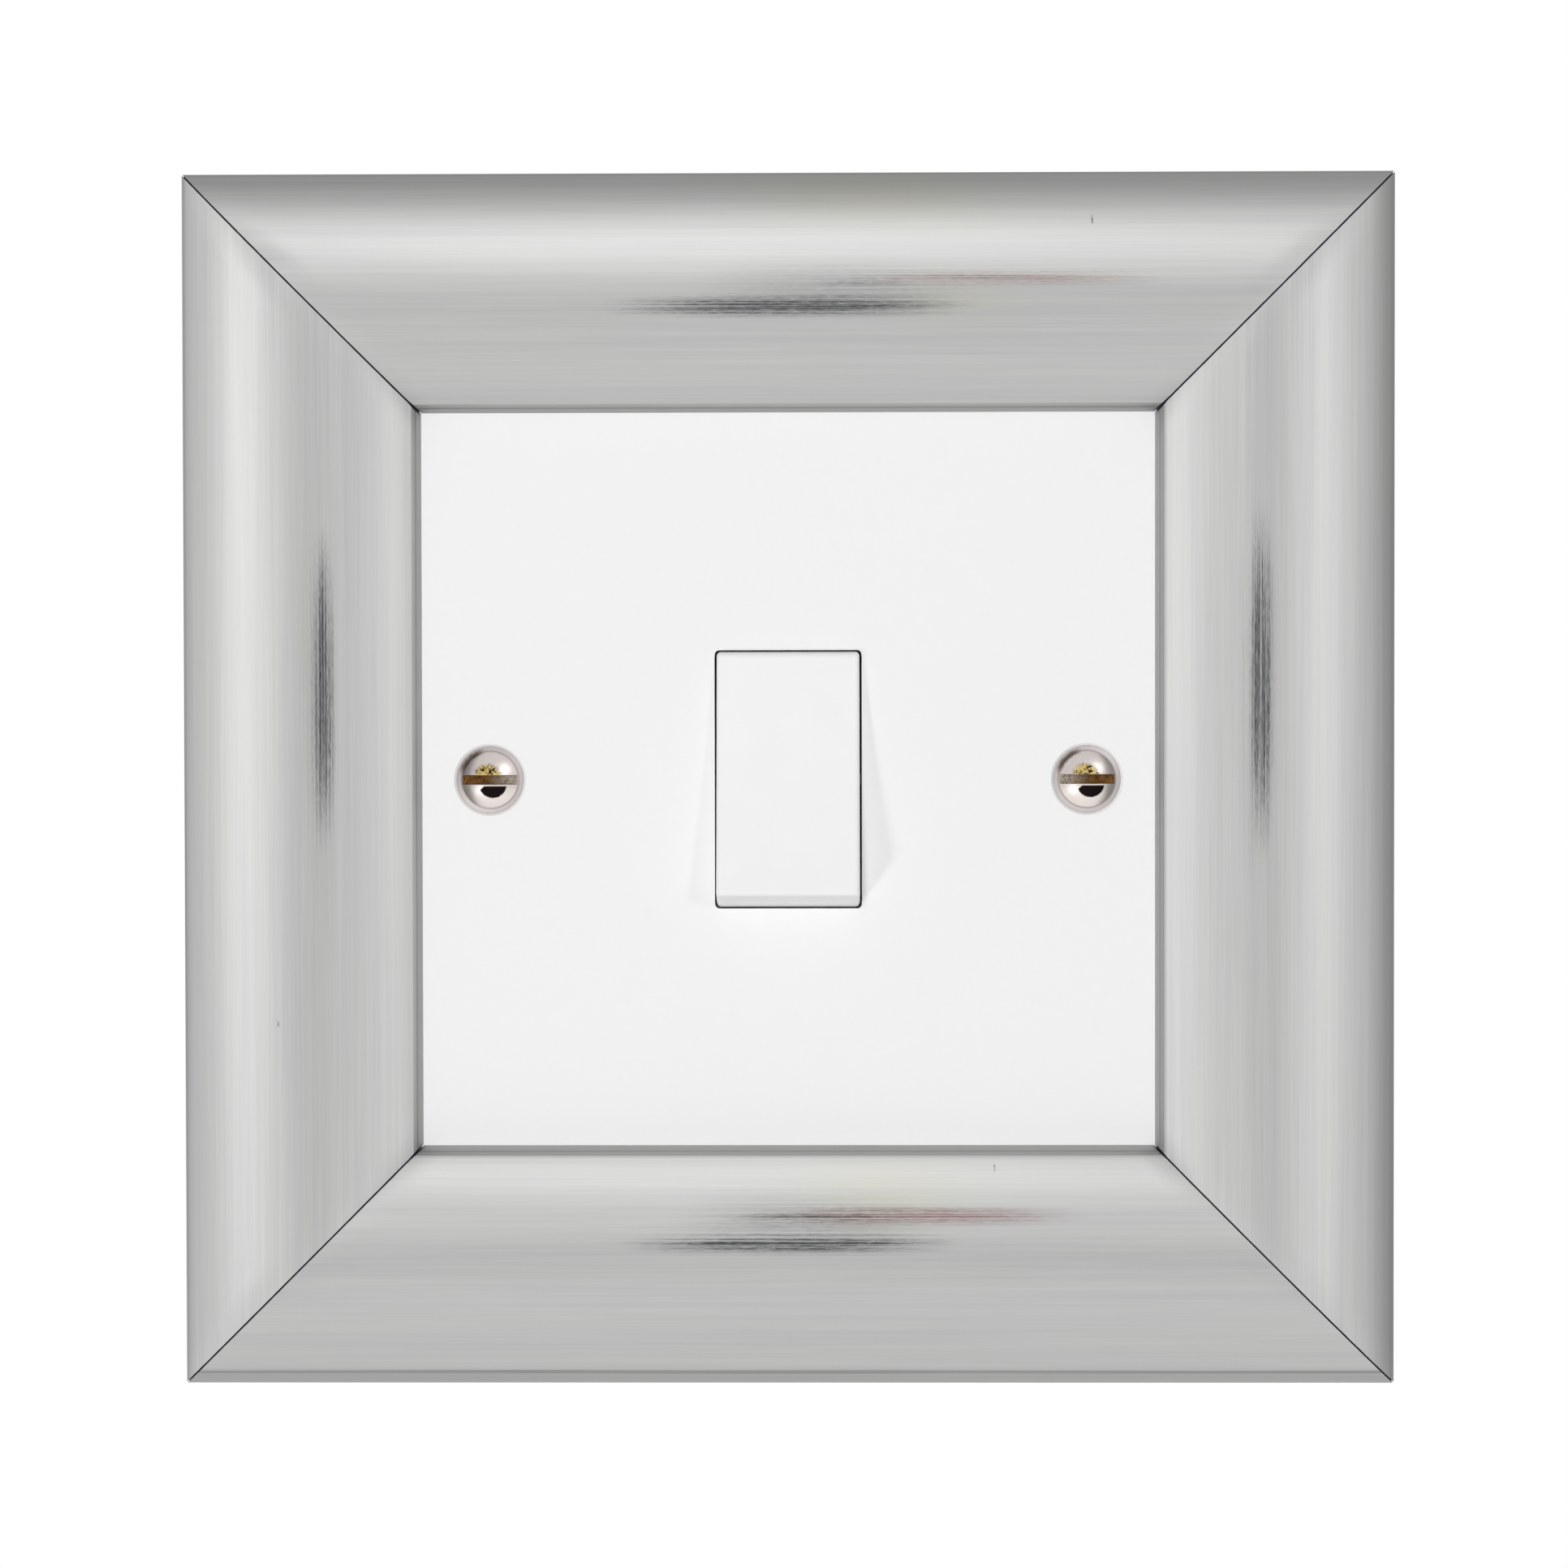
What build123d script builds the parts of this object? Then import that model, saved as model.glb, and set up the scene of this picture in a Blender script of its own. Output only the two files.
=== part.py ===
from build123d import *
from math import asin, atan, copysign, cos, degrees, radians, sin, sqrt, tan
import os

# One-gang rocker light switch in a mitred picture-frame moulding. Millimetres.
# Origin: midway between the two fixing screws, on the wall plane.
# +X is right, +Z is up and the switch faces -Y. A height is measured off the wall, towards the room.
# A depth is measured behind the rocker's pivot, towards the wall box.

# Plate
plate_size = 86.0
plate_thickness = 1.0
plate_front = 5.0
plate_corner_radius = 3.0
opening_width = 14.8
opening_height = 26.1
opening_corner_radius = 0.45

# Picture-frame moulding
lip_cover = 6.0
rail_width = 24.0
plate_clearance = 0.2
crest_inset = 13.7
crest_rise = 8.5
dome_radius = 16.0
sight_bevel = 0.4
sight_bevel_drop = 0.6
outer_edge_round = 0.8
mitre_gap = 0.16
mitre_angle = 45.0

# V nails across the back of each mitre
v_nail_height = 7.0
v_nail_leg = 4.4
v_nail_gauge = 0.5
v_nail_sink = 0.3
v_nail_half_angle = 34.0
nail_clearance = 0.03

# Screws that hold the moulding to the plate's hidden margin
frame_screw_radius = 1.1
frame_screw_length = 6.0
frame_screw_point = 1.4
frame_screw_tip_radius = 0.33
frame_screw_head_radius = 2.0
frame_screw_head_height = 1.3
recess_span = 2.4
recess_width = 0.6
recess_depth = 0.7
frame_screw_inset = 2.8
frame_screw_spacing = 44.0
screw_clearance = 0.05
through_clearance = 0.25

# Fixing screws, slotted raised countersunk
fixing_spacing = 60.3
fixing_shank_radius = 1.75
fixing_head_radius = 3.4
fixing_dome_radius = 2.86
fixing_dome_rise = 0.85
fixing_rim_rise = 0.12
fixing_length = 25.0
countersink_angle = 90.0
fixing_slot_width = 0.98
fixing_slot_depth = 0.78
seat_sink = 0.2
seat_boss_wall = 0.8
seat_boss_height = 0.9

# Rocker
rocker_side_gap = 0.2
rocker_end_gap = 0.08
rocker_swing = 8.0
pressed_proud = 0.7
face_dish = 0.3
rocker_wall = 1.5
rocker_end_round = 0.6
rocker_side_round = 0.4
rocker_web = 1.2
skirt_angle = 7.0
skirt_depth = 4.0
skirt_flat = 6.4
pivot_pin_radius = 0.9
pivot_pin_length = 1.3
pivot_pin_cap_gap = 0.1
pivot_clearance = 0.06
pivot_end_gap = 0.2

# Plunger and its spring
plunger_radius = 1.7
plunger_clearance = 0.08
plunger_reach = 7.9
plunger_body = 3.2
plunger_stem_radius = 0.65
plunger_stem = 1.6
plunger_travel = 1.2
post_wall = 1.0
post_reach = 6.6
stem_gap = 1.5
spring_wire = 0.36
spring_radius = 1.2
spring_turns = 5

# See-saw blade and contacts
contact_ratio = 1.25
blade_width = 5.6
blade_thickness = 1.0
blade_flat = 2.5
blade_arm = 7.8
blade_corner_radius = 1.4
lug_span = 8.6
lug_height = 1.6
plunger_gap = 0.1
tip_radius = 1.6
tip_height = 0.7
tip_round = 0.2
tip_reach = 6.1
contact_clearance = 0.12

# Bracket, strips and terminals
strip_thickness = 0.8
strip_width = 4.4
ear_gap = 0.3
ear_front = 1.3
ear_width = 6.0
ear_nose = 4.4
notch_clearance = 0.12
terminal_width = 7.0
terminal_height = 7.5
terminal_depth = 6.0
terminal_edge = 0.3
wire_bore_radius = 1.9
wire_wall = 0.9
terminal_screw_radius = 1.75
terminal_head_radius = 2.6
terminal_head_height = 1.6
terminal_slot_width = 0.9
terminal_slot_depth = 0.7
screw_tip_gap = 0.1

# Mouldings behind the plate
well_clearance = 0.34
side_margin = 7.46
end_margin = 6.6
module_corner_radius = 1.5
partition_depth = 5.0
partition_thickness = 1.4
post_slot_clearance = 0.3
base_wall = 1.6
base_floor = 2.2
pocket_clearance = 0.2
chamber_half_width = 5.2
chamber_end_gap = 1.0
relief_wall = 1.6
relief_middle = 2.6
base_edge_round = 0.8
barrier_height = 1.2
barrier_width = 1.2
wire_entry_width = 5.2
wire_entry_margin = 0.5
access_radius = 2.9

# Ears, pillars and module screws
ear_half_height = 3.4
ear_thickness = 1.5
pillar_inset = 3.7
pillar_radius = 2.75
module_screw_radius = 1.5
module_screw_head_radius = 2.6
module_screw_head_height = 1.8
module_screw_grip = 4.0

# Earth terminal
earth_x = 19.0
earth_inset = 14.0
earth_depth = 11.0
earth_wire_drop = 6.4

# Places worked out from the sizes above
front = Plane.XZ
half_plate = plate_size / 2
plate_back = plate_front - plate_thickness
sight_reach = half_plate - lip_cover
rebate_reach = half_plate + plate_clearance
outer_reach = sight_reach + rail_width
crest_reach = outer_reach - crest_inset
crest_height = plate_front + crest_rise
fixing_points = [(-fixing_spacing / 2, 0), (fixing_spacing / 2, 0)]

pivot_height = plate_back - pivot_pin_cap_gap - pivot_pin_radius
edge_rise = plate_back - pivot_height
rocker_reach = sqrt((opening_height / 2) ** 2 + edge_rise**2) - rocker_end_gap
pressed_angle = degrees(asin((plate_front + pressed_proud - pivot_height) / rocker_reach))
corner_angle = pressed_angle + rocker_swing
rocker_half_width = opening_width / 2 - rocker_side_gap
post_radius = plunger_radius + plunger_clearance + post_wall
body_start = plunger_reach - plunger_body
bore_start = body_start - plunger_stem - plunger_travel - stem_gap

contact_swing = rocker_swing * contact_ratio
blade_depth = plunger_reach + plunger_radius + plunger_gap + blade_thickness / 2
blade_lean = sin(radians(contact_swing))
closed_tip_depth = blade_depth + blade_flat * blade_lean + blade_thickness / 2 + tip_height
strip_front = closed_tip_depth + contact_clearance + tip_height
strip_back = strip_front + strip_thickness
closed_tip_z = blade_flat * cos(radians(contact_swing)) + tip_reach

well_half_width = rocker_half_width + well_clearance
well_half_height = rocker_reach + well_clearance
module_half_width = well_half_width + side_margin
module_half_height = well_half_height + end_margin
parting_depth = partition_depth + partition_thickness
base_depth = strip_back + base_floor
terminal_x = module_half_width - base_wall - pocket_clearance - terminal_width / 2
terminal_z = module_half_height - base_wall - pocket_clearance - terminal_height / 2
terminal_points = [(-terminal_x, terminal_z), (terminal_x, terminal_z), (-terminal_x, -terminal_z)]
wire_depth = strip_front - terminal_depth + wire_wall + wire_bore_radius
pillar_x = module_half_width + pillar_inset
pillar_points = [(-pillar_x, 0), (pillar_x, 0)]
margin_reach = half_plate - frame_screw_inset
earth_z = earth_inset - half_plate


def behind_pivot(depth):
    """Plane facing the room, at a depth behind the rocker's pivot."""
    return front.offset(pivot_height - depth)


def dome_height(reach):
    """Height of the moulding's dome at a distance from the middle of the frame."""
    return crest_height - dome_radius + sqrt(dome_radius**2 - (reach - crest_reach) ** 2)


def save(part, name):
    """Label a finished piece and write it."""
    part.label = name
    export_step(part, f"parts/{name}.step")


os.makedirs("parts", exist_ok=True)

# Mitred rails. The section is drawn with local x outward from the middle and local y off the wall.
margin_points = []
for side in (-1, 1):
    for along in (-frame_screw_spacing / 2, frame_screw_spacing / 2):
        margin_points.append((along, side * margin_reach))
        margin_points.append((side * margin_reach, along))
nail_apex = (rebate_reach + outer_reach) / 2 - v_nail_leg / 2
corner_signs = [(1, 1), (-1, 1), (-1, -1), (1, -1)]


def draw_v_nails(gauge):
    """One V across each mitre, open towards the outer corner."""
    for sign_x, sign_z in corner_signs:
        near = v_nail_leg * cos(radians(mitre_angle - v_nail_half_angle))
        far = v_nail_leg * sin(radians(mitre_angle - v_nail_half_angle))
        with BuildLine() as nail_line:
            Polyline(
                (sign_x * (nail_apex + near), sign_z * (nail_apex + far)),
                (sign_x * nail_apex, sign_z * nail_apex),
                (sign_x * (nail_apex + far), sign_z * (nail_apex + near)),
            )
        trace(nail_line.line, line_width=gauge)


rail_turns = {"rail_bottom": 0, "rail_right": -90, "rail_top": 180, "rail_left": 90}
bevel_reach = sight_reach + sight_bevel
for rail_name, turn in rail_turns.items():
    section = Plane(origin=(0, 0, 0), x_dir=(0, 0, -1), z_dir=(-1, 0, 0)).rotated((0, turn, 0))
    with BuildPart() as rail:
        with BuildSketch(section.offset(-outer_reach)):
            with BuildLine():
                dome = ThreePointArc(
                    (outer_reach, dome_height(outer_reach)),
                    (crest_reach, crest_height),
                    (bevel_reach, dome_height(bevel_reach)),
                )
                Polyline(
                    dome @ 1,
                    (sight_reach, dome_height(bevel_reach) - sight_bevel_drop),
                    (sight_reach, plate_front),
                    (rebate_reach, plate_front),
                    (rebate_reach, 0),
                    (outer_reach, 0),
                    dome @ 0,
                )
            make_face()
            outer_corner = vertices().group_by(Axis.X)[-1].sort_by(Axis.Y)[-1]
            fillet(outer_corner, outer_edge_round)
        extrude(amount=2 * outer_reach)
        for end in (-1, 1):
            mitre = Plane(origin=(0, 0, 0), z_dir=section.z_dir * end - section.x_dir)
            split(bisect_by=mitre.offset(-mitre_gap / 2), keep=Keep.BOTTOM)
        with BuildSketch(front):
            draw_v_nails(v_nail_gauge + 2 * nail_clearance)
        extrude(amount=v_nail_height + v_nail_sink, mode=Mode.SUBTRACT)
        with BuildSketch(front.offset(plate_front)):
            with Locations(*margin_points):
                Circle(frame_screw_radius + screw_clearance)
        extrude(amount=frame_screw_length - plate_thickness, mode=Mode.SUBTRACT)
    save(rail.part, rail_name)

with BuildPart() as corner_v_nails:
    with BuildSketch(front.offset(v_nail_sink)):
        draw_v_nails(v_nail_gauge)
    extrude(amount=v_nail_height)
save(corner_v_nails.part, "corner_v_nails")

# Pan head wood screws, driven from the plate's back into the lip
with BuildPart() as frame_screws:
    with BuildSketch(front.offset(plate_back)):
        with Locations(*margin_points):
            Circle(frame_screw_radius)
    extrude(amount=frame_screw_length - frame_screw_point)
    point_faces = faces().group_by(Axis.Y)[0]
    point_taper = degrees(atan((frame_screw_radius - frame_screw_tip_radius) / frame_screw_point))
    extrude(point_faces, amount=frame_screw_point, taper=point_taper)
    with BuildSketch(front.offset(plate_back)):
        with Locations(*margin_points):
            Circle(frame_screw_head_radius)
    extrude(amount=-frame_screw_head_height)
    head_rims = edges().filter_by(GeomType.CIRCLE).group_by(Axis.Y)[-1]
    fillet(head_rims, frame_screw_head_height / 2)
    with BuildSketch(front.offset(plate_back - frame_screw_head_height)):
        with Locations(*margin_points):
            Rectangle(recess_span, recess_width)
            Rectangle(recess_width, recess_span)
    extrude(amount=recess_depth, mode=Mode.SUBTRACT)
save(frame_screws.part, "frame_screws")

# Plate with its rocker opening and two dimpled screw seats
seat_radius = fixing_head_radius + screw_clearance
seat_root = seat_radius + seat_boss_wall
with BuildPart() as front_plate:
    with BuildSketch(front.offset(plate_back)):
        RectangleRounded(plate_size, plate_size, plate_corner_radius)
        RectangleRounded(opening_width, opening_height, opening_corner_radius, mode=Mode.SUBTRACT)
        with Locations(*margin_points):
            Circle(frame_screw_radius + through_clearance, mode=Mode.SUBTRACT)
    extrude(amount=plate_thickness)
    with BuildSketch(front.offset(plate_back)):
        with Locations(*fixing_points):
            Circle(seat_root)
    extrude(amount=-seat_boss_height, taper=countersink_angle / 2)
    with Locations(front.offset(plate_front - seat_sink)):
        with Locations(*fixing_points):
            CounterSinkHole(
                radius=fixing_shank_radius + through_clearance,
                counter_sink_radius=seat_radius,
                counter_sink_angle=countersink_angle,
            )
    with BuildSketch(front.offset(plate_front)):
        with Locations(*fixing_points):
            Circle(seat_radius + seat_sink * tan(radians(countersink_angle / 2)))
    extrude(amount=-seat_sink, taper=countersink_angle / 2, mode=Mode.SUBTRACT)
save(front_plate.part, "front_plate")

# Fixing screws
head_plane_height = plate_front - seat_sink
cone_depth = (fixing_head_radius - fixing_shank_radius) / tan(radians(countersink_angle / 2))
screw_names = ["fixing_screw_left", "fixing_screw_right"]
for screw_name, (screw_x, screw_z) in zip(screw_names, fixing_points):
    axis_plane = Plane(origin=(screw_x, -head_plane_height, screw_z), x_dir=(1, 0, 0), z_dir=(0, 0, 1))
    with BuildPart() as fixing_screw:
        with BuildSketch(axis_plane):
            with BuildLine():
                top = fixing_rim_rise + fixing_dome_rise
                cap_radius = (fixing_dome_radius**2 + fixing_dome_rise**2) / (2 * fixing_dome_rise)
                dome = RadiusArc((0, -top), (fixing_dome_radius, -fixing_rim_rise), cap_radius)
                Polyline(
                    (fixing_dome_radius, -fixing_rim_rise),
                    (fixing_head_radius, 0),
                    (fixing_shank_radius, cone_depth),
                    (fixing_shank_radius, fixing_length),
                    (0, fixing_length),
                    (0, -top),
                )
            make_face()
        revolve(axis=Axis(axis_plane.origin, (0, 1, 0)))
        with BuildSketch(front.offset(head_plane_height + fixing_rim_rise + fixing_dome_rise)):
            with Locations((screw_x, screw_z)):
                Rectangle(2 * fixing_head_radius, fixing_slot_width)
        extrude(amount=-fixing_slot_depth, mode=Mode.SUBTRACT)
    save(fixing_screw.part, screw_name)

# Rocker. Its own side view has local x off the wall and local y up, leaned to the pressed position.
upright_side = Plane(origin=(0, -pivot_height, 0), x_dir=(0, -1, 0), z_dir=(-1, 0, 0))
rocker_side = upright_side.rotated((-rocker_swing, 0, 0))
post_plane = Plane(origin=rocker_side.origin, x_dir=(1, 0, 0), z_dir=-rocker_side.x_dir)
corner_x = rocker_reach * sin(radians(corner_angle))
corner_y = rocker_reach * cos(radians(corner_angle))
skirt_x = -rocker_reach * sin(radians(skirt_angle))
skirt_y = rocker_reach * cos(radians(skirt_angle))
face_x = corner_x - face_dish
with BuildPart() as rocker:
    with BuildSketch(rocker_side):
        with BuildLine():
            ThreePointArc((corner_x, corner_y), (face_x, 0), (corner_x, -corner_y))
            RadiusArc((corner_x, -corner_y), (skirt_x, -skirt_y), rocker_reach)
            Polyline(
                (skirt_x, -skirt_y),
                (-skirt_depth, -skirt_flat / 2),
                (-skirt_depth, skirt_flat / 2),
                (skirt_x, skirt_y),
            )
            RadiusArc((skirt_x, skirt_y), (corner_x, corner_y), rocker_reach)
        make_face()
        fillet(vertices().sort_by(Axis.X)[-2:], rocker_end_round)
    extrude(amount=rocker_half_width, both=True)
    side_faces = faces().filter_by(GeomType.PLANE).sort_by(Axis.X)
    side_edges = side_faces[0].edges() + side_faces[-1].edges()
    fillet(side_edges.filter_by(GeomType.CIRCLE), rocker_side_round)
    for flip in (-1, 1):
        hollow_width = rocker_half_width - rocker_wall - rocker_web / 2
        with BuildSketch(rocker_side.offset(flip * (rocker_web / 2 + hollow_width / 2))):
            Circle(rocker_reach - rocker_wall)
            with Locations((face_x - rocker_wall - rocker_reach, 0)):
                Rectangle(2 * rocker_reach, 2 * rocker_reach, mode=Mode.INTERSECT)
        extrude(amount=hollow_width / 2, both=True, mode=Mode.SUBTRACT)
    with BuildSketch(post_plane.offset(-face_x + rocker_wall / 2)):
        Circle(post_radius)
    extrude(amount=post_reach + face_x - rocker_wall / 2)
    with BuildSketch(rocker_side):
        Circle(pivot_pin_radius)
    extrude(amount=rocker_half_width + pivot_pin_length, both=True)
    with BuildSketch(post_plane.offset(bore_start)):
        Circle(plunger_radius + plunger_clearance)
    extrude(amount=post_reach, mode=Mode.SUBTRACT)
save(rocker.part, "rocker")

# Plunger: round nose, body and spring stem, turned about the post's axis
post_axis = Axis(rocker_side.origin, rocker_side.x_dir)
with BuildPart() as plunger:
    with BuildSketch(rocker_side):
        with BuildLine():
            Polyline(
                (-plunger_reach, plunger_radius),
                (-body_start, plunger_radius),
                (-body_start, plunger_stem_radius),
                (-body_start + plunger_stem, plunger_stem_radius),
                (-body_start + plunger_stem, 0),
                (-plunger_reach - plunger_radius, 0),
            )
            nose_rise = plunger_radius * sin(radians(45))
            ThreePointArc(
                (-plunger_reach - plunger_radius, 0),
                (-plunger_reach - nose_rise, nose_rise),
                (-plunger_reach, plunger_radius),
            )
        make_face()
    revolve(axis=post_axis)
save(plunger.part, "plunger")

# Spring between the bore's end and the plunger's shoulder
spring_length = body_start - bore_start - spring_wire
with BuildPart() as plunger_spring:
    with BuildLine() as coil:
        Helix(
            pitch=spring_length / spring_turns,
            height=spring_length,
            radius=spring_radius,
            center=rocker_side.from_local_coords((-bore_start - spring_wire / 2, 0, 0)),
            direction=-rocker_side.x_dir,
        )
    with BuildSketch(Plane(origin=coil.line @ 0, z_dir=coil.line % 0)):
        Circle(spring_wire / 2)
    sweep()
save(plunger_spring.part, "plunger_spring")

# See-saw blade: a bent strip cut to its outline, leaned against the lower contact
blade_pivot = (0, blade_depth - pivot_height, 0)
blade_side = Plane(origin=blade_pivot, x_dir=(0, -1, 0), z_dir=(-1, 0, 0)).rotated((contact_swing, 0, 0))
blade_face = Plane(origin=blade_side.origin, x_dir=(1, 0, 0), z_dir=blade_side.x_dir)
arm_rise = blade_arm * blade_lean
arm_end = blade_flat + blade_arm * cos(radians(contact_swing))
with BuildPart() as moving_contact:
    with BuildSketch(blade_side):
        with BuildLine():
            Polyline((arm_rise, arm_end), (0, blade_flat), (0, -blade_flat), (arm_rise, -arm_end))
        trace(line_width=blade_thickness)
    extrude(amount=lug_span / 2, both=True)
    with BuildSketch(blade_face):
        RectangleRounded(blade_width, 2 * arm_end, blade_corner_radius)
        Rectangle(lug_span, lug_height)
    extrude(amount=blade_arm, both=True, mode=Mode.INTERSECT)
save(moving_contact.part, "moving_contact")


def arm_plane(side):
    """Plane on the back of one blade arm, where its contact tip sits, facing the wall box."""
    lean = radians(contact_swing)
    middle = (tip_reach * sin(lean), side * (blade_flat + tip_reach * cos(lean)))
    away = (-cos(lean), side * sin(lean))
    back = [place + blade_thickness / 2 * step for place, step in zip(middle, away)]
    origin = blade_side.from_local_coords((back[0], back[1], 0))
    normal = blade_side.x_dir * away[0] + blade_side.y_dir * away[1]
    return Plane(origin=origin, x_dir=(1, 0, 0), z_dir=normal)


with BuildPart() as moving_contact_tips:
    for side in (-1, 1):
        with BuildSketch(arm_plane(side)):
            Circle(tip_radius)
        extrude(amount=tip_height)
    back_rims = [tip.faces().sort_by(Axis.Y)[-1].edges()[0] for tip in solids()]
    fillet(back_rims, tip_round)
save(moving_contact_tips.part, "moving_contact_tips")

# Fixed contacts: flat strips on the base's floor, with a silver tip opposite each arm
pad_overhang = tip_radius + 0.7


def draw_tail(sign_x, sign_z, low_z, grow):
    """The part of a strip that runs up under its terminal."""
    high_z = terminal_z + terminal_height / 2 - terminal_edge
    with Locations((sign_x * terminal_x, sign_z * (low_z + high_z) / 2)):
        Rectangle(strip_width + 2 * grow, high_z - low_z + 2 * grow)


def draw_contact_strip(sign_z, grow):
    """Outline of a fixed contact strip, on the left of the chamber."""
    outer_x = terminal_x + strip_width / 2
    with Locations(((pad_overhang - outer_x) / 2, sign_z * closed_tip_z)):
        Rectangle(outer_x + pad_overhang + 2 * grow, strip_width + 2 * grow)
    draw_tail(-1, sign_z, closed_tip_z - strip_width / 2, grow)


def draw_common_strip(grow):
    """Outline of the bracket's foot and its tail, on the right of the chamber."""
    inner_x = blade_width / 2 + ear_gap + strip_thickness
    outer_x = terminal_x + strip_width / 2
    with Locations(((outer_x - inner_x) / 2, 0)):
        Rectangle(outer_x + inner_x + 2 * grow, ear_width + 2 * grow)
    draw_tail(1, 1, -ear_width / 2, grow)


for strip_name, sign_z in (("upper_contact_strip", 1), ("lower_contact_strip", -1)):
    with BuildPart() as contact_strip:
        with BuildSketch(behind_pivot(strip_back)):
            draw_contact_strip(sign_z, 0)
            with Locations((-terminal_x, sign_z * terminal_z)):
                Circle(terminal_screw_radius + through_clearance, mode=Mode.SUBTRACT)
        extrude(amount=strip_thickness)
    save(contact_strip.part, strip_name)

with BuildPart() as fixed_contact_tips:
    with BuildSketch(behind_pivot(strip_front)):
        with Locations((0, closed_tip_z), (0, -closed_tip_z)):
            Circle(tip_radius)
    extrude(amount=tip_height)
    fillet(edges().group_by(Axis.Y)[0], tip_round)
save(fixed_contact_tips.part, "fixed_contact_tips")

# Bracket whose two notched ears carry the blade's lugs
notch_radius = sqrt((lug_height / 2) ** 2 + (blade_thickness / 2) ** 2) + notch_clearance
with BuildPart() as common_bracket:
    with BuildSketch(behind_pivot(strip_back)):
        draw_common_strip(0)
        with Locations((terminal_x, terminal_z)):
            Circle(terminal_screw_radius + through_clearance, mode=Mode.SUBTRACT)
    extrude(amount=strip_thickness)
    for side in (-1, 1):
        ear_middle = blade_width / 2 + ear_gap + strip_thickness / 2
        with BuildSketch(upright_side.offset(side * ear_middle)):
            with BuildLine():
                Polyline(
                    (-strip_back, -ear_width / 2),
                    (-blade_depth + ear_front, -ear_nose / 2),
                    (-blade_depth + ear_front, ear_nose / 2),
                    (-strip_back, ear_width / 2),
                    close=True,
                )
            make_face()
            with Locations((-blade_depth, 0)):
                Circle(notch_radius, mode=Mode.SUBTRACT)
            with Locations((-blade_depth + ear_front, 0)):
                Rectangle(2 * ear_front, 2 * notch_radius, mode=Mode.SUBTRACT)
        extrude(amount=strip_thickness / 2, both=True)
save(common_bracket.part, "common_bracket")

# Terminals: brass blocks with a wire bore along Z and a tapped hole facing the wall box
terminal_names = ["upper_terminal", "common_terminal", "lower_terminal"]
wire_y = wire_depth - pivot_height
for terminal_name, (block_x, block_z) in zip(terminal_names, terminal_points):
    with BuildPart() as terminal:
        with BuildSketch(behind_pivot(strip_front)):
            with Locations((block_x, block_z)):
                Rectangle(terminal_width, terminal_height)
        extrude(amount=terminal_depth)
        chamfer(edges().filter_by(Axis.Y), terminal_edge)
        with BuildSketch(Plane.XY.offset(block_z)):
            with Locations((block_x, wire_y)):
                Circle(wire_bore_radius)
        extrude(amount=terminal_height, both=True, mode=Mode.SUBTRACT)
        with BuildSketch(behind_pivot(strip_front)):
            with Locations((block_x, block_z)):
                Circle(terminal_screw_radius + screw_clearance)
        extrude(amount=strip_front - wire_depth, mode=Mode.SUBTRACT)
    save(terminal.part, terminal_name)

with BuildPart() as terminal_screws:
    with BuildSketch(behind_pivot(strip_back)):
        with Locations(*terminal_points):
            Circle(terminal_screw_radius)
    extrude(amount=strip_back - wire_depth - wire_bore_radius - screw_tip_gap)
    with BuildSketch(behind_pivot(strip_back)):
        with Locations(*terminal_points):
            Circle(terminal_head_radius)
    extrude(amount=-terminal_head_height)
    fillet(edges().filter_by(GeomType.CIRCLE).group_by(Axis.Y)[-1], terminal_edge)
    with BuildSketch(behind_pivot(strip_back + terminal_head_height)):
        with Locations(*terminal_points):
            Rectangle(2 * terminal_head_radius, terminal_slot_width)
    extrude(amount=terminal_slot_depth, mode=Mode.SUBTRACT)
save(terminal_screws.part, "terminal_screws")


def draw_ears():
    """The two ears beside a moulding, rounded about the pillars."""
    with Locations(*pillar_points):
        Circle(ear_half_height)
    for side in (-1, 1):
        with Locations((side * (module_half_width + pillar_inset / 2 - base_wall / 2), 0)):
            Rectangle(pillar_inset + base_wall, 2 * ear_half_height)


# Front moulding: the well that the rocker works in, open to the front and closed by the plate
well_depth = edge_rise + partition_depth
with BuildPart() as rocker_carrier:
    with BuildSketch(behind_pivot(parting_depth)):
        RectangleRounded(2 * module_half_width, 2 * module_half_height, module_corner_radius)
    extrude(amount=edge_rise + parting_depth)
    with BuildSketch(behind_pivot(parting_depth)):
        draw_ears()
    extrude(amount=ear_thickness)
    with BuildSketch(front.offset(plate_back)):
        Rectangle(2 * well_half_width, 2 * well_half_height)
        for side in (-1, 1):
            with Locations((0, side * (well_half_height + end_margin / 2))):
                Rectangle(2 * well_half_width, end_margin - 2 * relief_wall)
        side_pocket_height = well_half_height - relief_middle
        pocket_x = well_half_width + side_margin / 2
        pocket_z = relief_middle + side_pocket_height / 2
        with Locations(*[(sx * pocket_x, sz * pocket_z) for sx, sz in corner_signs]):
            Rectangle(side_margin - 2 * relief_wall, side_pocket_height)
    extrude(amount=-well_depth, mode=Mode.SUBTRACT)
    trunnion_reach = rocker_half_width + pivot_pin_length + pivot_end_gap
    with BuildSketch(upright_side):
        Circle(pivot_pin_radius + pivot_clearance)
        with Locations((edge_rise / 2, 0)):
            Rectangle(edge_rise, 2 * (pivot_pin_radius + pivot_clearance))
    extrude(amount=trunnion_reach, both=True, mode=Mode.SUBTRACT)
    swing = radians(rocker_swing)
    slot_half_width = post_radius + post_slot_clearance
    slot_half_height = parting_depth * tan(swing) + post_radius / cos(swing) + post_slot_clearance
    with BuildSketch(behind_pivot(parting_depth)):
        Rectangle(2 * slot_half_width, 2 * slot_half_height)
        with Locations(*pillar_points):
            Circle(module_screw_radius + through_clearance)
    extrude(amount=partition_thickness + ear_thickness, mode=Mode.SUBTRACT)
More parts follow.
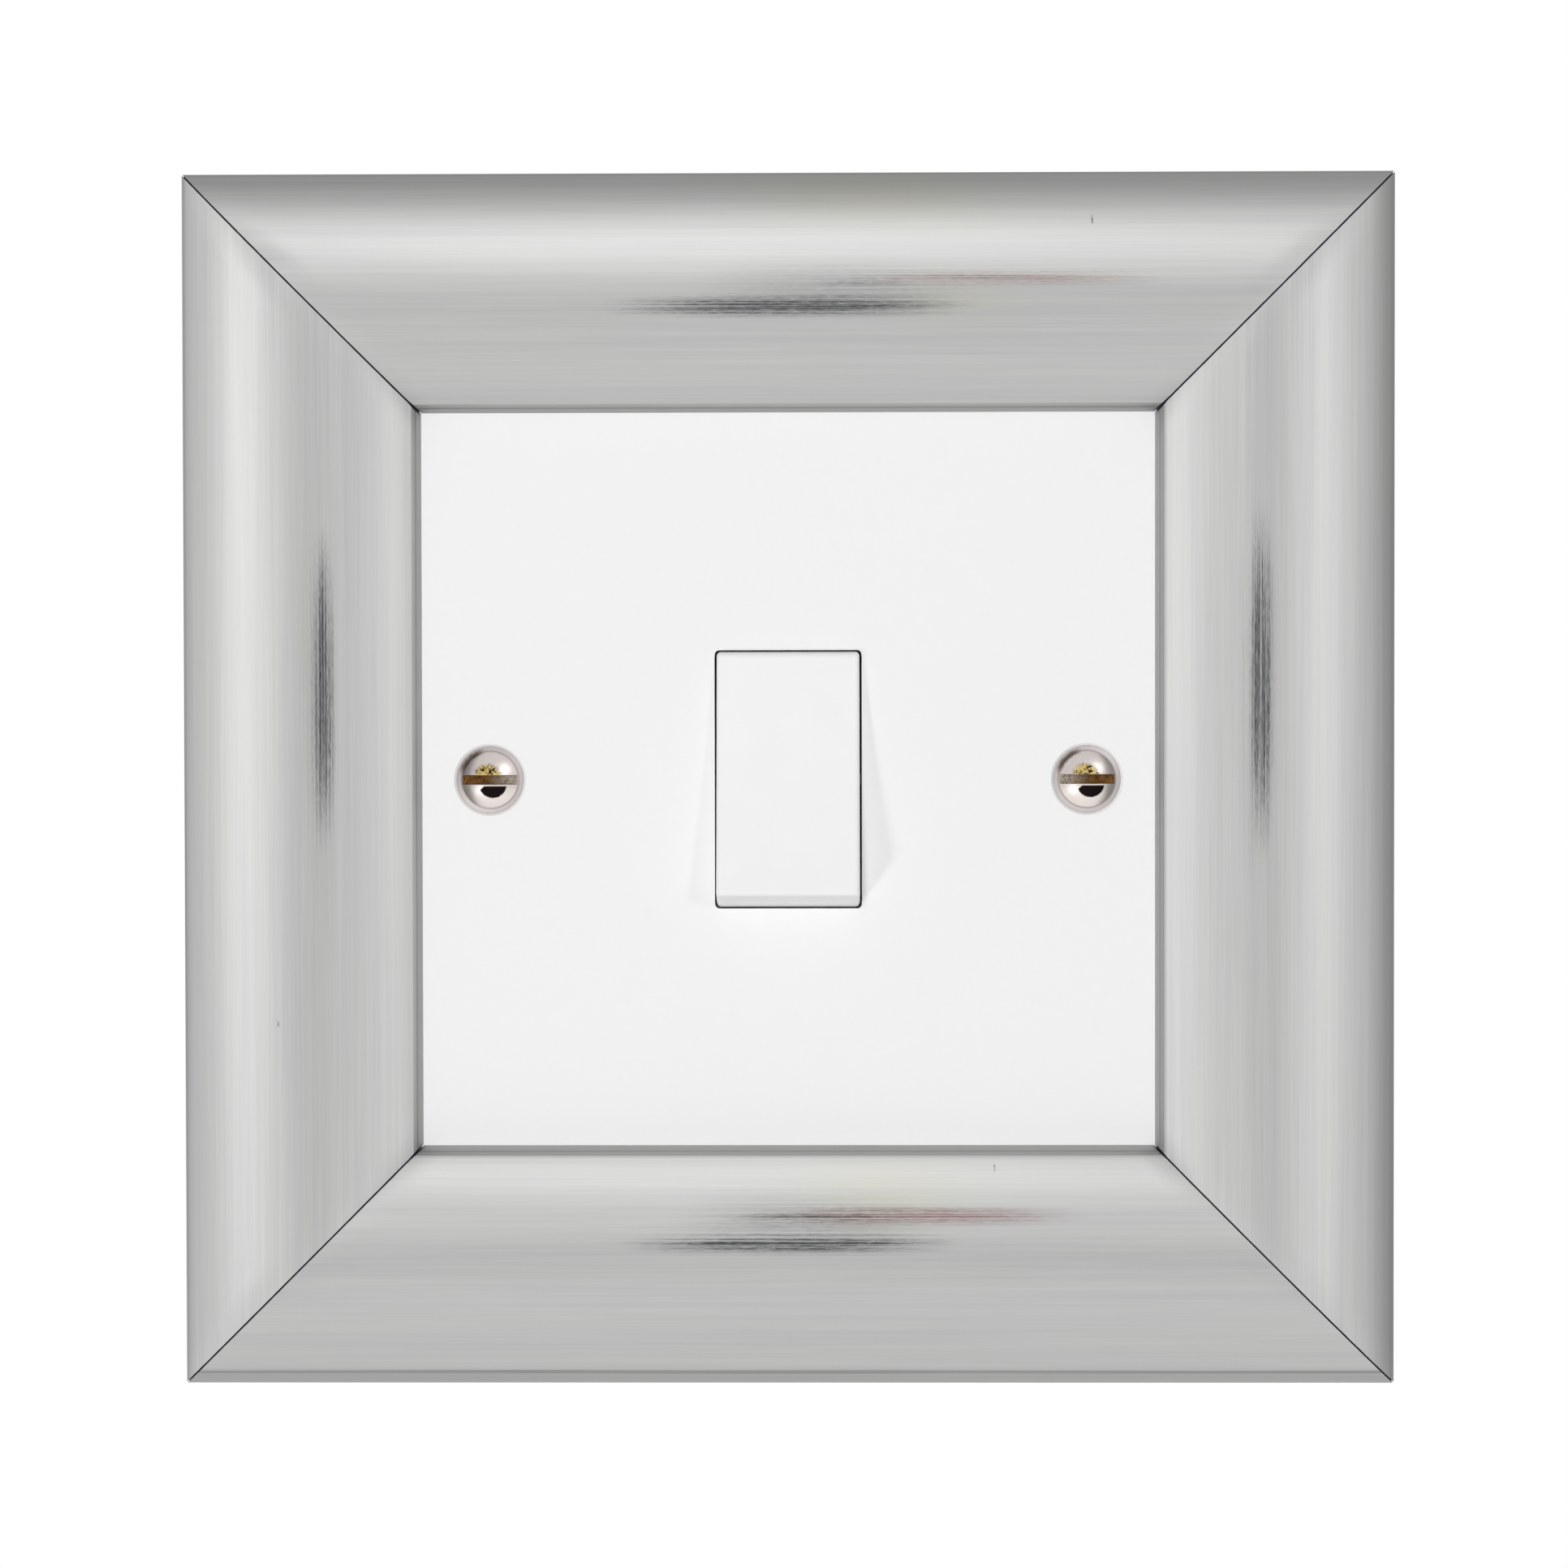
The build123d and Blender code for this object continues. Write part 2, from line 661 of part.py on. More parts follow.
save(rocker_carrier.part, "rocker_carrier")

# Rear moulding: blade chamber, pockets for strips and terminals, and the ways in for wires
chamber_half_height = blade_flat + blade_arm + chamber_end_gap
cavity_depth = strip_back - parting_depth
with BuildPart() as contact_base:
    with BuildSketch(behind_pivot(base_depth)):
        RectangleRounded(2 * module_half_width, 2 * module_half_height, module_corner_radius)
    extrude(amount=base_depth - parting_depth)
    fillet(faces().sort_by(Axis.Y)[-1].edges(), base_edge_round)
    with BuildSketch(behind_pivot(parting_depth)):
        draw_ears()
    extrude(amount=-ear_thickness)
    with BuildSketch(behind_pivot(parting_depth)):
        Rectangle(2 * chamber_half_width, 2 * chamber_half_height)
        draw_contact_strip(1, pocket_clearance)
        draw_contact_strip(-1, pocket_clearance)
        draw_common_strip(pocket_clearance)
        with Locations(*terminal_points):
            Rectangle(terminal_width + 2 * pocket_clearance, terminal_height + 2 * pocket_clearance)
    extrude(amount=-cavity_depth, mode=Mode.SUBTRACT)
    with BuildSketch(behind_pivot(parting_depth)):
        for block_x, block_z in terminal_points:
            with Locations((block_x, block_z + copysign(terminal_height / 2, block_z))):
                Rectangle(wire_entry_width, terminal_height)
    wire_entry_depth = wire_depth + wire_bore_radius + wire_entry_margin - parting_depth
    extrude(amount=-wire_entry_depth, mode=Mode.SUBTRACT)
    with BuildSketch(behind_pivot(base_depth)):
        with Locations(*terminal_points):
            Circle(access_radius)
        with Locations(*pillar_points):
            Circle(module_screw_radius + through_clearance)
    extrude(amount=base_floor, mode=Mode.SUBTRACT)
    with BuildSketch(behind_pivot(parting_depth)):
        with Locations(*pillar_points):
            Circle(module_screw_radius + through_clearance)
    extrude(amount=-ear_thickness, mode=Mode.SUBTRACT)
    with BuildSketch(behind_pivot(base_depth)):
        Rectangle(barrier_width, 2 * (module_half_height - base_edge_round) - barrier_width)
        Rectangle(2 * (module_half_width - base_edge_round) - barrier_width, barrier_width)
    extrude(amount=-barrier_height)
save(contact_base.part, "contact_base")

# Threaded pillars on the plate's back and the screws that clamp both mouldings to them
ear_front_height = pivot_height - parting_depth + ear_thickness
with BuildPart() as module_pillars:
    with BuildSketch(front.offset(plate_back)):
        with Locations(*pillar_points):
            Circle(pillar_radius)
            Circle(module_screw_radius + screw_clearance, mode=Mode.SUBTRACT)
    extrude(amount=ear_front_height - plate_back)
save(module_pillars.part, "module_pillars")

screw_seat_depth = parting_depth + ear_thickness
with BuildPart() as module_screws:
    with BuildSketch(behind_pivot(screw_seat_depth)):
        with Locations(*pillar_points):
            Circle(module_screw_radius)
    extrude(amount=2 * ear_thickness + module_screw_grip)
    with BuildSketch(behind_pivot(screw_seat_depth)):
        with Locations(*pillar_points):
            Circle(module_screw_head_radius)
    extrude(amount=-module_screw_head_height)
    fillet(edges().filter_by(GeomType.CIRCLE).group_by(Axis.Y)[-1], module_screw_head_height / 2)
    with BuildSketch(behind_pivot(screw_seat_depth + module_screw_head_height)):
        with Locations(*pillar_points):
            Rectangle(2 * module_screw_head_radius, terminal_slot_width)
    extrude(amount=terminal_slot_depth, mode=Mode.SUBTRACT)
save(module_screws.part, "module_screws")

# Earth terminal on the plate's back, open downwards
earth_wire_height = plate_back - earth_wire_drop
with BuildPart() as earth_terminal:
    with BuildSketch(front.offset(plate_back)):
        with Locations((earth_x, earth_z)):
            Rectangle(terminal_width, terminal_height)
    extrude(amount=-earth_depth)
    chamfer(edges().filter_by(Axis.Y), terminal_edge)
    with BuildSketch(Plane.XY.offset(earth_z)):
        with Locations((earth_x, -earth_wire_height)):
            Circle(wire_bore_radius)
    extrude(amount=terminal_height, both=True, mode=Mode.SUBTRACT)
    with BuildSketch(front.offset(plate_back - earth_depth)):
        with Locations((earth_x, earth_z)):
            Circle(terminal_screw_radius + screw_clearance)
    extrude(amount=earth_depth - earth_wire_drop, mode=Mode.SUBTRACT)
save(earth_terminal.part, "earth_terminal")

with BuildPart() as earth_screw:
    with BuildSketch(front.offset(plate_back - earth_depth)):
        with Locations((earth_x, earth_z)):
            Circle(terminal_screw_radius)
    extrude(amount=earth_depth - earth_wire_drop - wire_bore_radius - screw_tip_gap)
    with BuildSketch(front.offset(plate_back - earth_depth)):
        with Locations((earth_x, earth_z)):
            Circle(terminal_head_radius)
    extrude(amount=-terminal_head_height)
    fillet(edges().filter_by(GeomType.CIRCLE).group_by(Axis.Y)[-1], terminal_edge)
    with BuildSketch(front.offset(plate_back - earth_depth - terminal_head_height)):
        with Locations((earth_x, earth_z)):
            Rectangle(2 * terminal_head_radius, terminal_slot_width)
    extrude(amount=terminal_slot_depth, mode=Mode.SUBTRACT)
save(earth_screw.part, "earth_screw")

print(f"rocker pivot y {-pivot_height:.4f} z 0, tips swing radius {rocker_reach:.3f}")
print(f"blade pivot y {blade_depth - pivot_height:.4f} z 0")
print(f"plunger axis {-rocker_side.x_dir.Y:.6f} {-rocker_side.x_dir.Z:.6f}")
print(f"wire bores y {wire_y:.4f}, terminals at x {terminal_x:.3f} z {terminal_z:.3f}")
print(f"earth wire bore y {-earth_wire_height:.4f}, terminal at x {earth_x:.3f} z {earth_z:.3f}")
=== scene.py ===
import math
import random

import bpy
from mathutils import Matrix, Vector


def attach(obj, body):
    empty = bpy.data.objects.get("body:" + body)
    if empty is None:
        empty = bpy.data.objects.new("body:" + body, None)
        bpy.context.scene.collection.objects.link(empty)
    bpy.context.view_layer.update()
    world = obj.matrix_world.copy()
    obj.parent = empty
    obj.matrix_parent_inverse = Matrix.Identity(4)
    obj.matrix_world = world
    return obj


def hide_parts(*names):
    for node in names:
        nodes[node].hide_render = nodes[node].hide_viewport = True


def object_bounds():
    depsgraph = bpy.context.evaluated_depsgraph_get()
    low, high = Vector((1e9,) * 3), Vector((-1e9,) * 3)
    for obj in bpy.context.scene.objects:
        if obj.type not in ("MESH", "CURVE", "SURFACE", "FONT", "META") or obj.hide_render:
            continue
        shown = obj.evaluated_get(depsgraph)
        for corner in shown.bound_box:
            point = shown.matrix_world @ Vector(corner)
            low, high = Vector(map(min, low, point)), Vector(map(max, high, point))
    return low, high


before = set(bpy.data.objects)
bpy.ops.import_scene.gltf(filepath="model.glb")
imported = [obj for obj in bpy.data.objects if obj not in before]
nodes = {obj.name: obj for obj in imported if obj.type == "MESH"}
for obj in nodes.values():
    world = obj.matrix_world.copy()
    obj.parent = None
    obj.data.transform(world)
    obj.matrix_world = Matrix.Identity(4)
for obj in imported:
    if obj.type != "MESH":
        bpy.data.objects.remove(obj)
cadLow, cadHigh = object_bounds()
mm = 0.001
print("frame loaded:", len(nodes), "CAD nodes")


# shader building: a value socket that takes plain sums, and one method for every other node

class Wire:
    def __init__(self, finish, socket):
        self.finish = finish
        self.socket = socket

    def maths(self, operation, *values, **settings):
        settings = {"operation": operation, **settings}
        return self.finish.node("ShaderNodeMath", settings, dict(enumerate(values)))[0]

    def __add__(self, other):
        return self.maths("ADD", self, other)

    def __radd__(self, other):
        return self.maths("ADD", other, self)

    def __sub__(self, other):
        return self.maths("SUBTRACT", self, other)

    def __rsub__(self, other):
        return self.maths("SUBTRACT", other, self)

    def __mul__(self, other):
        return self.maths("MULTIPLY", self, other)

    def __rmul__(self, other):
        return self.maths("MULTIPLY", other, self)

    def __truediv__(self, other):
        return self.maths("DIVIDE", self, other)

    def __rtruediv__(self, other):
        return self.maths("DIVIDE", other, self)

    def __pow__(self, other):
        return self.maths("POWER", self, other)

    def __abs__(self):
        return self.maths("ABSOLUTE", self)

    def atLeast(self, other):
        return self.maths("MAXIMUM", self, other)

    def held(self):                               # kept between 0 and 1
        return self.maths("ADD", self, 0.0, use_clamp=True)

    def ramp(self, low, high):                    # 0 at low, 1 at high, smooth between
        values = {0: self, 1: low, 2: high, 3: 0.0, 4: 1.0}
        return self.finish.node("ShaderNodeMapRange", {"interpolation_type": "SMOOTHSTEP"}, values)[0]


class Made:
    def __init__(self, finish, made):
        self.finish = finish
        self.made = made

    def __getitem__(self, key):
        return Wire(self.finish, self.made.outputs[key])


class Nodes:
    def __init__(self, tree):
        self.tree = tree

    def node(self, kind, settings=None, values=None):
        made = self.tree.nodes.new(kind)
        for key, value in (settings or {}).items():
            setattr(made, key, value)
        for key, value in (values or {}).items():
            if isinstance(value, Wire):
                self.tree.links.new(value.socket, made.inputs[key])
            else:
                made.inputs[key].default_value = value
        return Made(self, made)

    def seenDirectly(self):                       # by the camera, or in metal or glass
        rays = self.node("ShaderNodeLightPath")
        return rays["Is Camera Ray"].atLeast(rays["Is Glossy Ray"]).atLeast(rays["Is Transmission Ray"])


class Finish(Nodes):
    def __init__(self, name, **constants):
        self.material = bpy.data.materials.new(name)
        self.material.use_nodes = True
        super().__init__(self.material.node_tree)
        self.shader = self.tree.nodes["Principled BSDF"]
        for socketName, value in constants.items():
            self.shader.inputs[socketName.replace("_", " ")].default_value = value

    def feed(self, socketName, wire):
        self.tree.links.new(wire.socket, self.shader.inputs[socketName])

    def places(self):                             # object-space place in millimetres
        where = self.node("ShaderNodeTexCoord")["Object"]
        parts = self.node("ShaderNodeSeparateXYZ", values={0: where})
        return parts[0] / mm, parts[1] / mm, parts[2] / mm

    def point(self, x, y, z):
        return self.node("ShaderNodeCombineXYZ", values={0: x, 1: y, 2: z})[0]

    def noise(self, where, scale=1.0, detail=3.0, roughness=0.55):
        values = {"Vector": where, "Scale": scale, "Detail": detail, "Roughness": roughness}
        return self.node("ShaderNodeTexNoise", values=values)["Fac"]

    def mixColours(self, factor, first, second, blend="MIX"):
        settings = {"data_type": "RGBA", "blend_type": blend}
        return self.node("ShaderNodeMix", settings, {0: factor, 6: first, 7: second})[2]

    def bump(self, height, strength, depth):      # depth in millimetres
        values = {"Strength": strength, "Distance": depth * mm, "Height": height}
        self.feed("Normal", self.node("ShaderNodeBump", values=values)["Normal"])


def grey(level):
    return (level, level, level, 1.0)


def wear(node, *finishes):
    nodes[node].data.materials.clear()
    for finish in finishes:
        nodes[node].data.materials.append(finish.material)


# mesh building

def pieceFrom(name, body, finishes, vertices, faces, faceFinish=None, sharp=35.0):
    mesh = bpy.data.meshes.new(name)
    mesh.from_pydata(vertices, [], faces)
    for finish in finishes:
        mesh.materials.append(finish.material)
    for index, polygon in enumerate(mesh.polygons):
        polygon.use_smooth = True
        if faceFinish:
            polygon.material_index = faceFinish[index]
    mesh.validate()
    mesh.set_sharp_from_angle(angle=math.radians(sharp))
    piece = bpy.data.objects.new(name, mesh)
    bpy.context.scene.collection.objects.link(piece)
    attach(piece, body)
    return piece


def cutWith(piece, vertices, faces, cutFinish=0):
    cutterMesh = bpy.data.meshes.new(piece.name + "Cutter")
    cutterMesh.from_pydata(vertices, [], faces)
    for finish in piece.data.materials:
        cutterMesh.materials.append(finish)
    for polygon in cutterMesh.polygons:
        polygon.material_index = cutFinish
    cutter = bpy.data.objects.new(piece.name + "Cutter", cutterMesh)
    bpy.context.scene.collection.objects.link(cutter)
    cut = piece.modifiers.new("cut", "BOOLEAN")
    cut.operation = "DIFFERENCE"
    cut.solver = "EXACT"
    cut.object = cutter
    graph = bpy.context.evaluated_depsgraph_get()
    made = bpy.data.meshes.new_from_object(piece.evaluated_get(graph))
    piece.modifiers.clear()
    piece.data = made
    bpy.data.objects.remove(cutter)
    bpy.data.meshes.remove(cutterMesh)


# the moulding: four lengths of domed wood in silver foil

railShape = {
    "width": 24.0,             # across the moulding, sight edge to outer side
    "crestInset": 13.7,        # crest from the outer side
    "crestHeight": 13.5,
    "domeRadius": 16.0,
    "outerRound": 0.8,
    "sightBevel": 0.4,
    "sightDrop": 0.6,
    "sightEase": 0.12,
    "rebateReach": 43.2,
    "lipHeight": 5.0,
    "mitreGap": 0.12,
    "mitreEase": 0.04,
    "easeSpread": (0.7, 1.3),  # no two points of a mitre are eased alike
    "easeArc": [(1.0, 0.0), (0.45, 0.16), (0.12, 0.55), (0.0, 1.0)],    # off the section, off the length
    "hiddenEase": 0.3,         # the share of the ease up to the lip's height
    "cornerEase": 0.12,        # more is lost at the inner tip of each mitre
    "cornerWidth": 0.7,
    "coreShare": 0.985,        # each end closes up behind the face, over this share of the section
    "coreMiddle": (48.0, 6.5),
    "coreGap": 0.012,
    "cutterOut": 0.5,          # how far a cutter stands out of the wood
    "arcStep": 2.0,            # degrees
    "lengths": 28,
    "turns": {"rail_top": 0, "rail_right": 90, "rail_bottom": 180, "rail_left": 270},
}

# the V nails' grooves, open at the back
grooveShape = {
    "apex": 49.9,              # both from the frame's middle
    "leg": 4.4,
    "halfAngle": 34.0,
    "width": 0.56,
    "depth": 7.3,
}

# the frame screws' pilot holes, open to the plate's hidden margin
pilotShape = {
    "along": 22.0,             # from the middle of each length
    "reach": 40.2,             # from the frame's middle
    "radius": 1.15,
    "depth": 5.0,
    "sides": 32,
}

foilLook = {
    "plain": (0.49, 0.49, 0.49, 1.0),
    "greenish": (0.488, 0.49, 0.477, 1.0),
    "metallic": 0.6,
    "roughness": 0.47,
    # the brushing: noise to the millimetre along a rail and across it, its detail, its roughness
    "fineGrain": (0.06, 7.0, 3.0, 0.7),
    "midGrain": (0.025, 1.8, 2.0, 0.55),
    "bandGrain": (0.012, 0.35, 2.0, 0.55),
    "fineLines": 0.13,         # how far the finest brushed lines lighten and darken
    "midLines": 0.09,
    "bands": 0.06,
    "crestWear": 0.09,         # painted dark reflection: the crest is a little darker
    "crestReach": (3.2, 0.4),  # none this far from the crest, full this near
    "sightDark": 0.36,         # painted shade: the sight edge is dark for half a millimetre
    "sightFade": 0.5,
    "sightGlint": 0.22,        # a painted highlight line within it
    "glintPlace": 0.24,        # in from the sight edge
    "glintWidth": (0.16, 0.03),
    # the marks are broken up: noise along and across, roughness
    "markLines": (0.012, 7.5, 0.8),
    "markGrain": (0.8, 12.0, 0.7),
}

# outer: painted shade on the outer edge: how dark it is, how far in the silver is full again, and how far in
# it's darkest
# sight: how wide the painted shade at the sight edge is
# line: a fine dark line along the outer edge: how far in it is, half its width, how dark it is
# slope: painted shade on the slope that faces down or to the right: how much darker it is, and how far in
# that starts and is full
edges = {
    "rail_top": {
        "outer": (0.45, 5.9, 0.0), "sight": 0.05,
        "line": (0.10, 0.22, 0.16), "slope": (0.09, 14.0, 18.0),
    },
    "rail_bottom": {
        "outer": (0.27, 2.4, 0.9), "sight": 0.30,
        "line": (1.52, 0.20, 0.34), "slope": (0.09, 14.0, 10.5),
    },
    "rail_left": {
        "outer": (0.24, 1.5, 0.0), "sight": 0.05,
        "line": (0.15, 0.25, 0.20), "slope": (0.03, 12.0, 16.0),
    },
    "rail_right": {
        "outer": (0.48, 3.8, 0.0), "sight": 0.35,
        "line": (0.20, 0.38, 0.14), "slope": (0.03, 9.0, 6.0),
    },
}

# marks: middle along the rail, half length, reach from the frame's middle, half width, how strong, colour
marks = {
    "rail_top": [
        (5.0, 17.0, 48.6, 2.8, 0.55, "shade"),
        (8.0, 18.0, 58.5, 4.0, 1.0, "warm"),
        (16.0, 11.0, 47.5, 3.0, 0.8, "warm"),
        (0.0, 22.0, 46.7, 1.15, 1.4, "black"),
        (7.5, 7.0, 49.0, 0.5, 0.5, "black"),
        (22.0, 19.0, 49.4, 0.85, 1.0, "red"),
        (30.2, 0.14, 55.4, 0.55, 1.5, "black"),
    ],
    "rail_bottom": [
        (-2.0, 16.0, 43.6, 3.2, 0.55, "shade"),
        (-10.0, 12.0, 41.5, 4.5, 0.9, "warm"),
        (0.0, 20.0, 45.8, 1.1, 1.25, "black"),
        (-2.0, 10.0, 43.2, 0.5, 0.5, "black"),
        (-13.0, 20.0, 43.1, 0.95, 1.1, "red"),
        (-20.5, 0.14, 38.6, 0.4, 1.2, "black"),
    ],
    "rail_left": [
        (7.0, 22.0, 46.5, 2.0, 0.35, "shade"),
        (9.0, 19.0, 45.8, 1.15, 1.6, "black"),
        (-24.0, 0.5, 50.4, 0.12, 1.2, "black"),
    ],
    "rail_right": [
        (-8.0, 24.0, 46.2, 2.2, 0.4, "shade"),
        (-10.0, 21.0, 46.7, 1.15, 1.5, "black"),
    ],
}
markTints = {                                     # the silver is multiplied by these
    "black": (0.15, 0.155, 0.167, 1.0),
    "red": (0.55, 0.37, 0.37, 1.0),
    "shade": (0.53, 0.53, 0.54, 1.0),
    "warm": (1.0, 0.995, 0.89, 1.0),
}


def silverFoil(rail, turn):
    look, edge = foilLook, edges[rail]
    foil = Finish("silverFoil_" + rail, Metallic=look["metallic"], Roughness=look["roughness"])
    x, y, z = foil.places()
    along, reach = {0: (x, z), 90: (-1 * z, x), 180: (-1 * x, -1 * z), 270: (z, -1 * x)}[turn]
    height = -1 * y
    shift = turn * 0.37                           # no two rails share a pattern

    def brushed(lengthwise, crosswise, detail, roughness):
        where = foil.point(along * lengthwise + shift, reach * crosswise, height * crosswise)
        return foil.noise(where, detail=detail, roughness=roughness)

    fine, middling, wide = (brushed(*look[grain]) for grain in ("fineGrain", "midGrain", "bandGrain"))
    tone = 1.0 + (fine - 0.5) * look["fineLines"] * 2 + (middling - 0.5) * look["midLines"] * 2
    tone = tone + (wide - 0.5) * look["bands"] * 2
    fromOutside = cadHigh.x / mm - reach
    fromSight = reach - (cadHigh.x / mm - railShape["width"])
    # painted shade on the slope that faces down or to the right
    slopeShade, shadeFrom, shadeTo = edge["slope"]
    tone = tone * (1.0 - slopeShade * fromOutside.ramp(shadeFrom, shadeTo))
    # painted shade: the outer edge is darker, by a different amount on each rail
    outerShade, outerFade, outerFull = edge["outer"]
    tone = tone * (1.0 - outerShade * fromOutside.ramp(outerFade, outerFull))
    # painted shade on the sight edge
    sightDark = fromSight.ramp(edge["sight"] + look["sightFade"], edge["sight"])
    tone = tone * (1.0 - look["sightDark"] * sightDark)
    fromCrest = abs(fromOutside - railShape["crestInset"])
    # painted dark reflection along the crest
    tone = tone * (1.0 - look["crestWear"] * fromCrest.ramp(*look["crestReach"]))
    lineIn, lineHalf, lineDark = edge["line"]
    fromLine = abs(fromOutside - lineIn + (middling - 0.5) * lineIn * 0.4)
    tone = tone * (1.0 - lineDark * fromLine.ramp(lineHalf * 1.6, lineHalf * 0.4) * (0.4 + fine * 1.2))
    # painted highlight: a lighter line near the sight edge
    glint = abs(fromSight - look["glintPlace"]).ramp(*look["glintWidth"])
    tone = tone * (1.0 + look["sightGlint"] * glint)
    tinted = (middling + wide - fine * 0.5).ramp(0.62, 0.85)
    colour = foil.mixColours(tinted, look["plain"], look["greenish"])
    colour = foil.node("ShaderNodeVectorMath", {"operation": "SCALE"}, {0: colour, 3: tone})[0]
    lengthwise, crosswise, roughness = look["markLines"]
    where = foil.point(along * lengthwise + shift, reach * crosswise, shift)
    lines = foil.noise(where, detail=3.0, roughness=roughness).ramp(0.40, 0.58)
    lengthwise, crosswise, roughness = look["markGrain"]
    where = foil.point(along * lengthwise, reach * crosswise, shift)
    grain = foil.noise(where, detail=3.0, roughness=roughness).ramp(0.35, 0.62)
    for middle, half, markReach, halfWidth, strength, hue in marks[rail]:
        lengthwise = (abs(along - middle) / half).ramp(1.0, 0.1)
        crosswise = (abs(reach - markReach) / halfWidth).ramp(1.4, -0.2)
        rub = lengthwise * crosswise * (0.35 + lines) * (0.55 + grain * 0.6) - 0.05
        colour = foil.mixColours((rub * strength).held(), colour, markTints[hue], "MULTIPLY")
    foil.feed("Base Color", colour)
    foil.feed("Roughness", look["roughness"] + (fine - 0.5) * 0.2)
    foil.bump(fine, 0.12, 0.02)
    return foil


woodLook = {
    "alongX": (0.05, 0.9, 0.9),                   # grain to the millimetre along X, Y and Z
    "alongZ": (0.9, 0.9, 0.05),
    "rings": ((0.62, 0.46, 0.29, 1.0), (0.40, 0.26, 0.14, 1.0)),
    "pores": (0.22, 0.13, 0.07, 1.0),
    "roughness": 0.62,
    "sawn": ((0.55, 0.40, 0.24, 1.0), (0.33, 0.21, 0.11, 1.0)),         # on the mitres
    "stain": (0.012, 0.012, 0.02, 1.0),
    "stainReach": (4.5, 7.0),                     # off the wall: bare wood below, dark stain above
}


def rawWood(name, rings):
    look = woodLook
    wood = Finish(name, Roughness=0.72)
    x, y, z = wood.places()
    grain = wood.noise(wood.point(x * rings[0], y * rings[1], z * rings[2]), detail=5.0, roughness=0.65)
    pores = wood.noise(wood.point(x * rings[0] * 5, y * rings[1] * 4, z * rings[2] * 5), detail=2.0)
    pale = wood.mixColours(grain.ramp(0.35, 0.68), *look["rings"])
    wood.feed("Base Color", wood.mixColours(pores.ramp(0.60, 0.72) * 0.5, pale, look["pores"]))
    wood.feed("Roughness", look["roughness"] + grain * 0.2)
    wood.bump(grain + pores * 0.6, 0.35, 0.08)
    return wood


def stainedMitre():
    look = woodLook
    stain = Finish("stainedMitre", Roughness=0.8)
    x, y, z = stain.places()
    soaked = stain.noise(stain.point(x, y, z), scale=1.4, detail=4.0)
    depth = (-1 * y + soaked * 3.0).ramp(*look["stainReach"])
    bare = stain.mixColours(soaked.ramp(0.35, 0.65), *look["sawn"])
    stain.feed("Base Color", stain.mixColours(depth, bare, look["stain"]))
    stain.bump(soaked, 0.4, 0.1)
    return stain


def roundCorner(before, corner, after, radius, steps=4):
    before, corner, after = Vector(before), Vector(corner), Vector(after)
    toBefore, toAfter = (before - corner).normalized(), (after - corner).normalized()
    half = toBefore.angle(toAfter) / 2
    cut = radius / math.tan(half)
    centre = corner + (toBefore + toAfter).normalized() * radius / math.sin(half)
    start, end = corner + toBefore * cut - centre, corner + toAfter * cut - centre
    return [tuple(centre + start.lerp(end, i / steps).normalized() * radius) for i in range(steps + 1)]


def railSection():
    shape = railShape
    outer = cadHigh.x / mm
    sight = outer - shape["width"]
    crest = outer - shape["crestInset"]
    domeCentre = Vector((crest, shape["crestHeight"] - shape["domeRadius"]))
    radius, rounding = shape["domeRadius"], shape["outerRound"]
    roundX = outer - rounding
    roundY = domeCentre.y + math.sqrt((radius - rounding) ** 2 - (roundX - crest) ** 2)
    lastAngle = math.atan2(roundY - domeCentre.y, roundX - crest)
    bevelX = sight + shape["sightBevel"]
    firstAngle = math.acos((bevelX - crest) / radius)
    steps = int(math.degrees(firstAngle - lastAngle) / shape["arcStep"])
    angles = [firstAngle + (lastAngle - firstAngle) * i / steps for i in range(steps + 1)]
    dome = [(crest + radius * math.cos(a), domeCentre.y + radius * math.sin(a)) for a in angles]
    outerArc = [
        (roundX + rounding * math.cos(lastAngle * i / 5), roundY + rounding * math.sin(lastAngle * i / 5))
        for i in (4, 3, 2, 1, 0)
    ]
    wallTop = (sight, dome[0][1] - shape["sightDrop"])
    lip = (sight, shape["lipHeight"])
    ease = shape["sightEase"]
    section = roundCorner(dome[1], dome[0], wallTop, ease) + dome[1:] + outerArc
    foilEdge = len(section)                       # foil covers the section up to here, and the sight wall
    section += [(outer, 0.0), (shape["rebateReach"], 0.0), (shape["rebateReach"], shape["lipHeight"]), lip]
    section += roundCorner(lip, wallTop, dome[0], ease)
    return section, foilEdge


def nailGroove(side, turn):
    shape = grooveShape
    half, leg, apex = math.radians(shape["halfAngle"]), shape["leg"], shape["apex"]
    legX, legY = leg * math.cos(half), leg * math.sin(half)        # out along the mitre, and away from it
    sideX, sideY = shape["width"] / 2 * math.sin(half), shape["width"] / 2 * math.cos(half)
    tip = shape["width"] / 2 / math.sin(half)
    outline = [(-tip, 0.0), (legX - sideX, legY + sideY), (legX + sideX, legY - sideY)]
    outline += [(tip, 0.0), (legX + sideX, sideY - legY), (legX - sideX, -legY - sideY)]
    angle = math.radians(90 - turn - 45 * side)
    away = apex * math.sqrt(2)
    vertices = []
    for height in (-railShape["cutterOut"], shape["depth"]):
        for out, across in outline:
            x = (away + out) * math.cos(angle) - across * math.sin(angle)
            z = (away + out) * math.sin(angle) + across * math.cos(angle)
            vertices.append((x * mm, -height * mm, z * mm))
    faces = [tuple(range(6)), tuple(range(11, 5, -1))]
    faces += [(i, i + 6, (i + 1) % 6 + 6, (i + 1) % 6) for i in range(6)]
    return vertices, faces


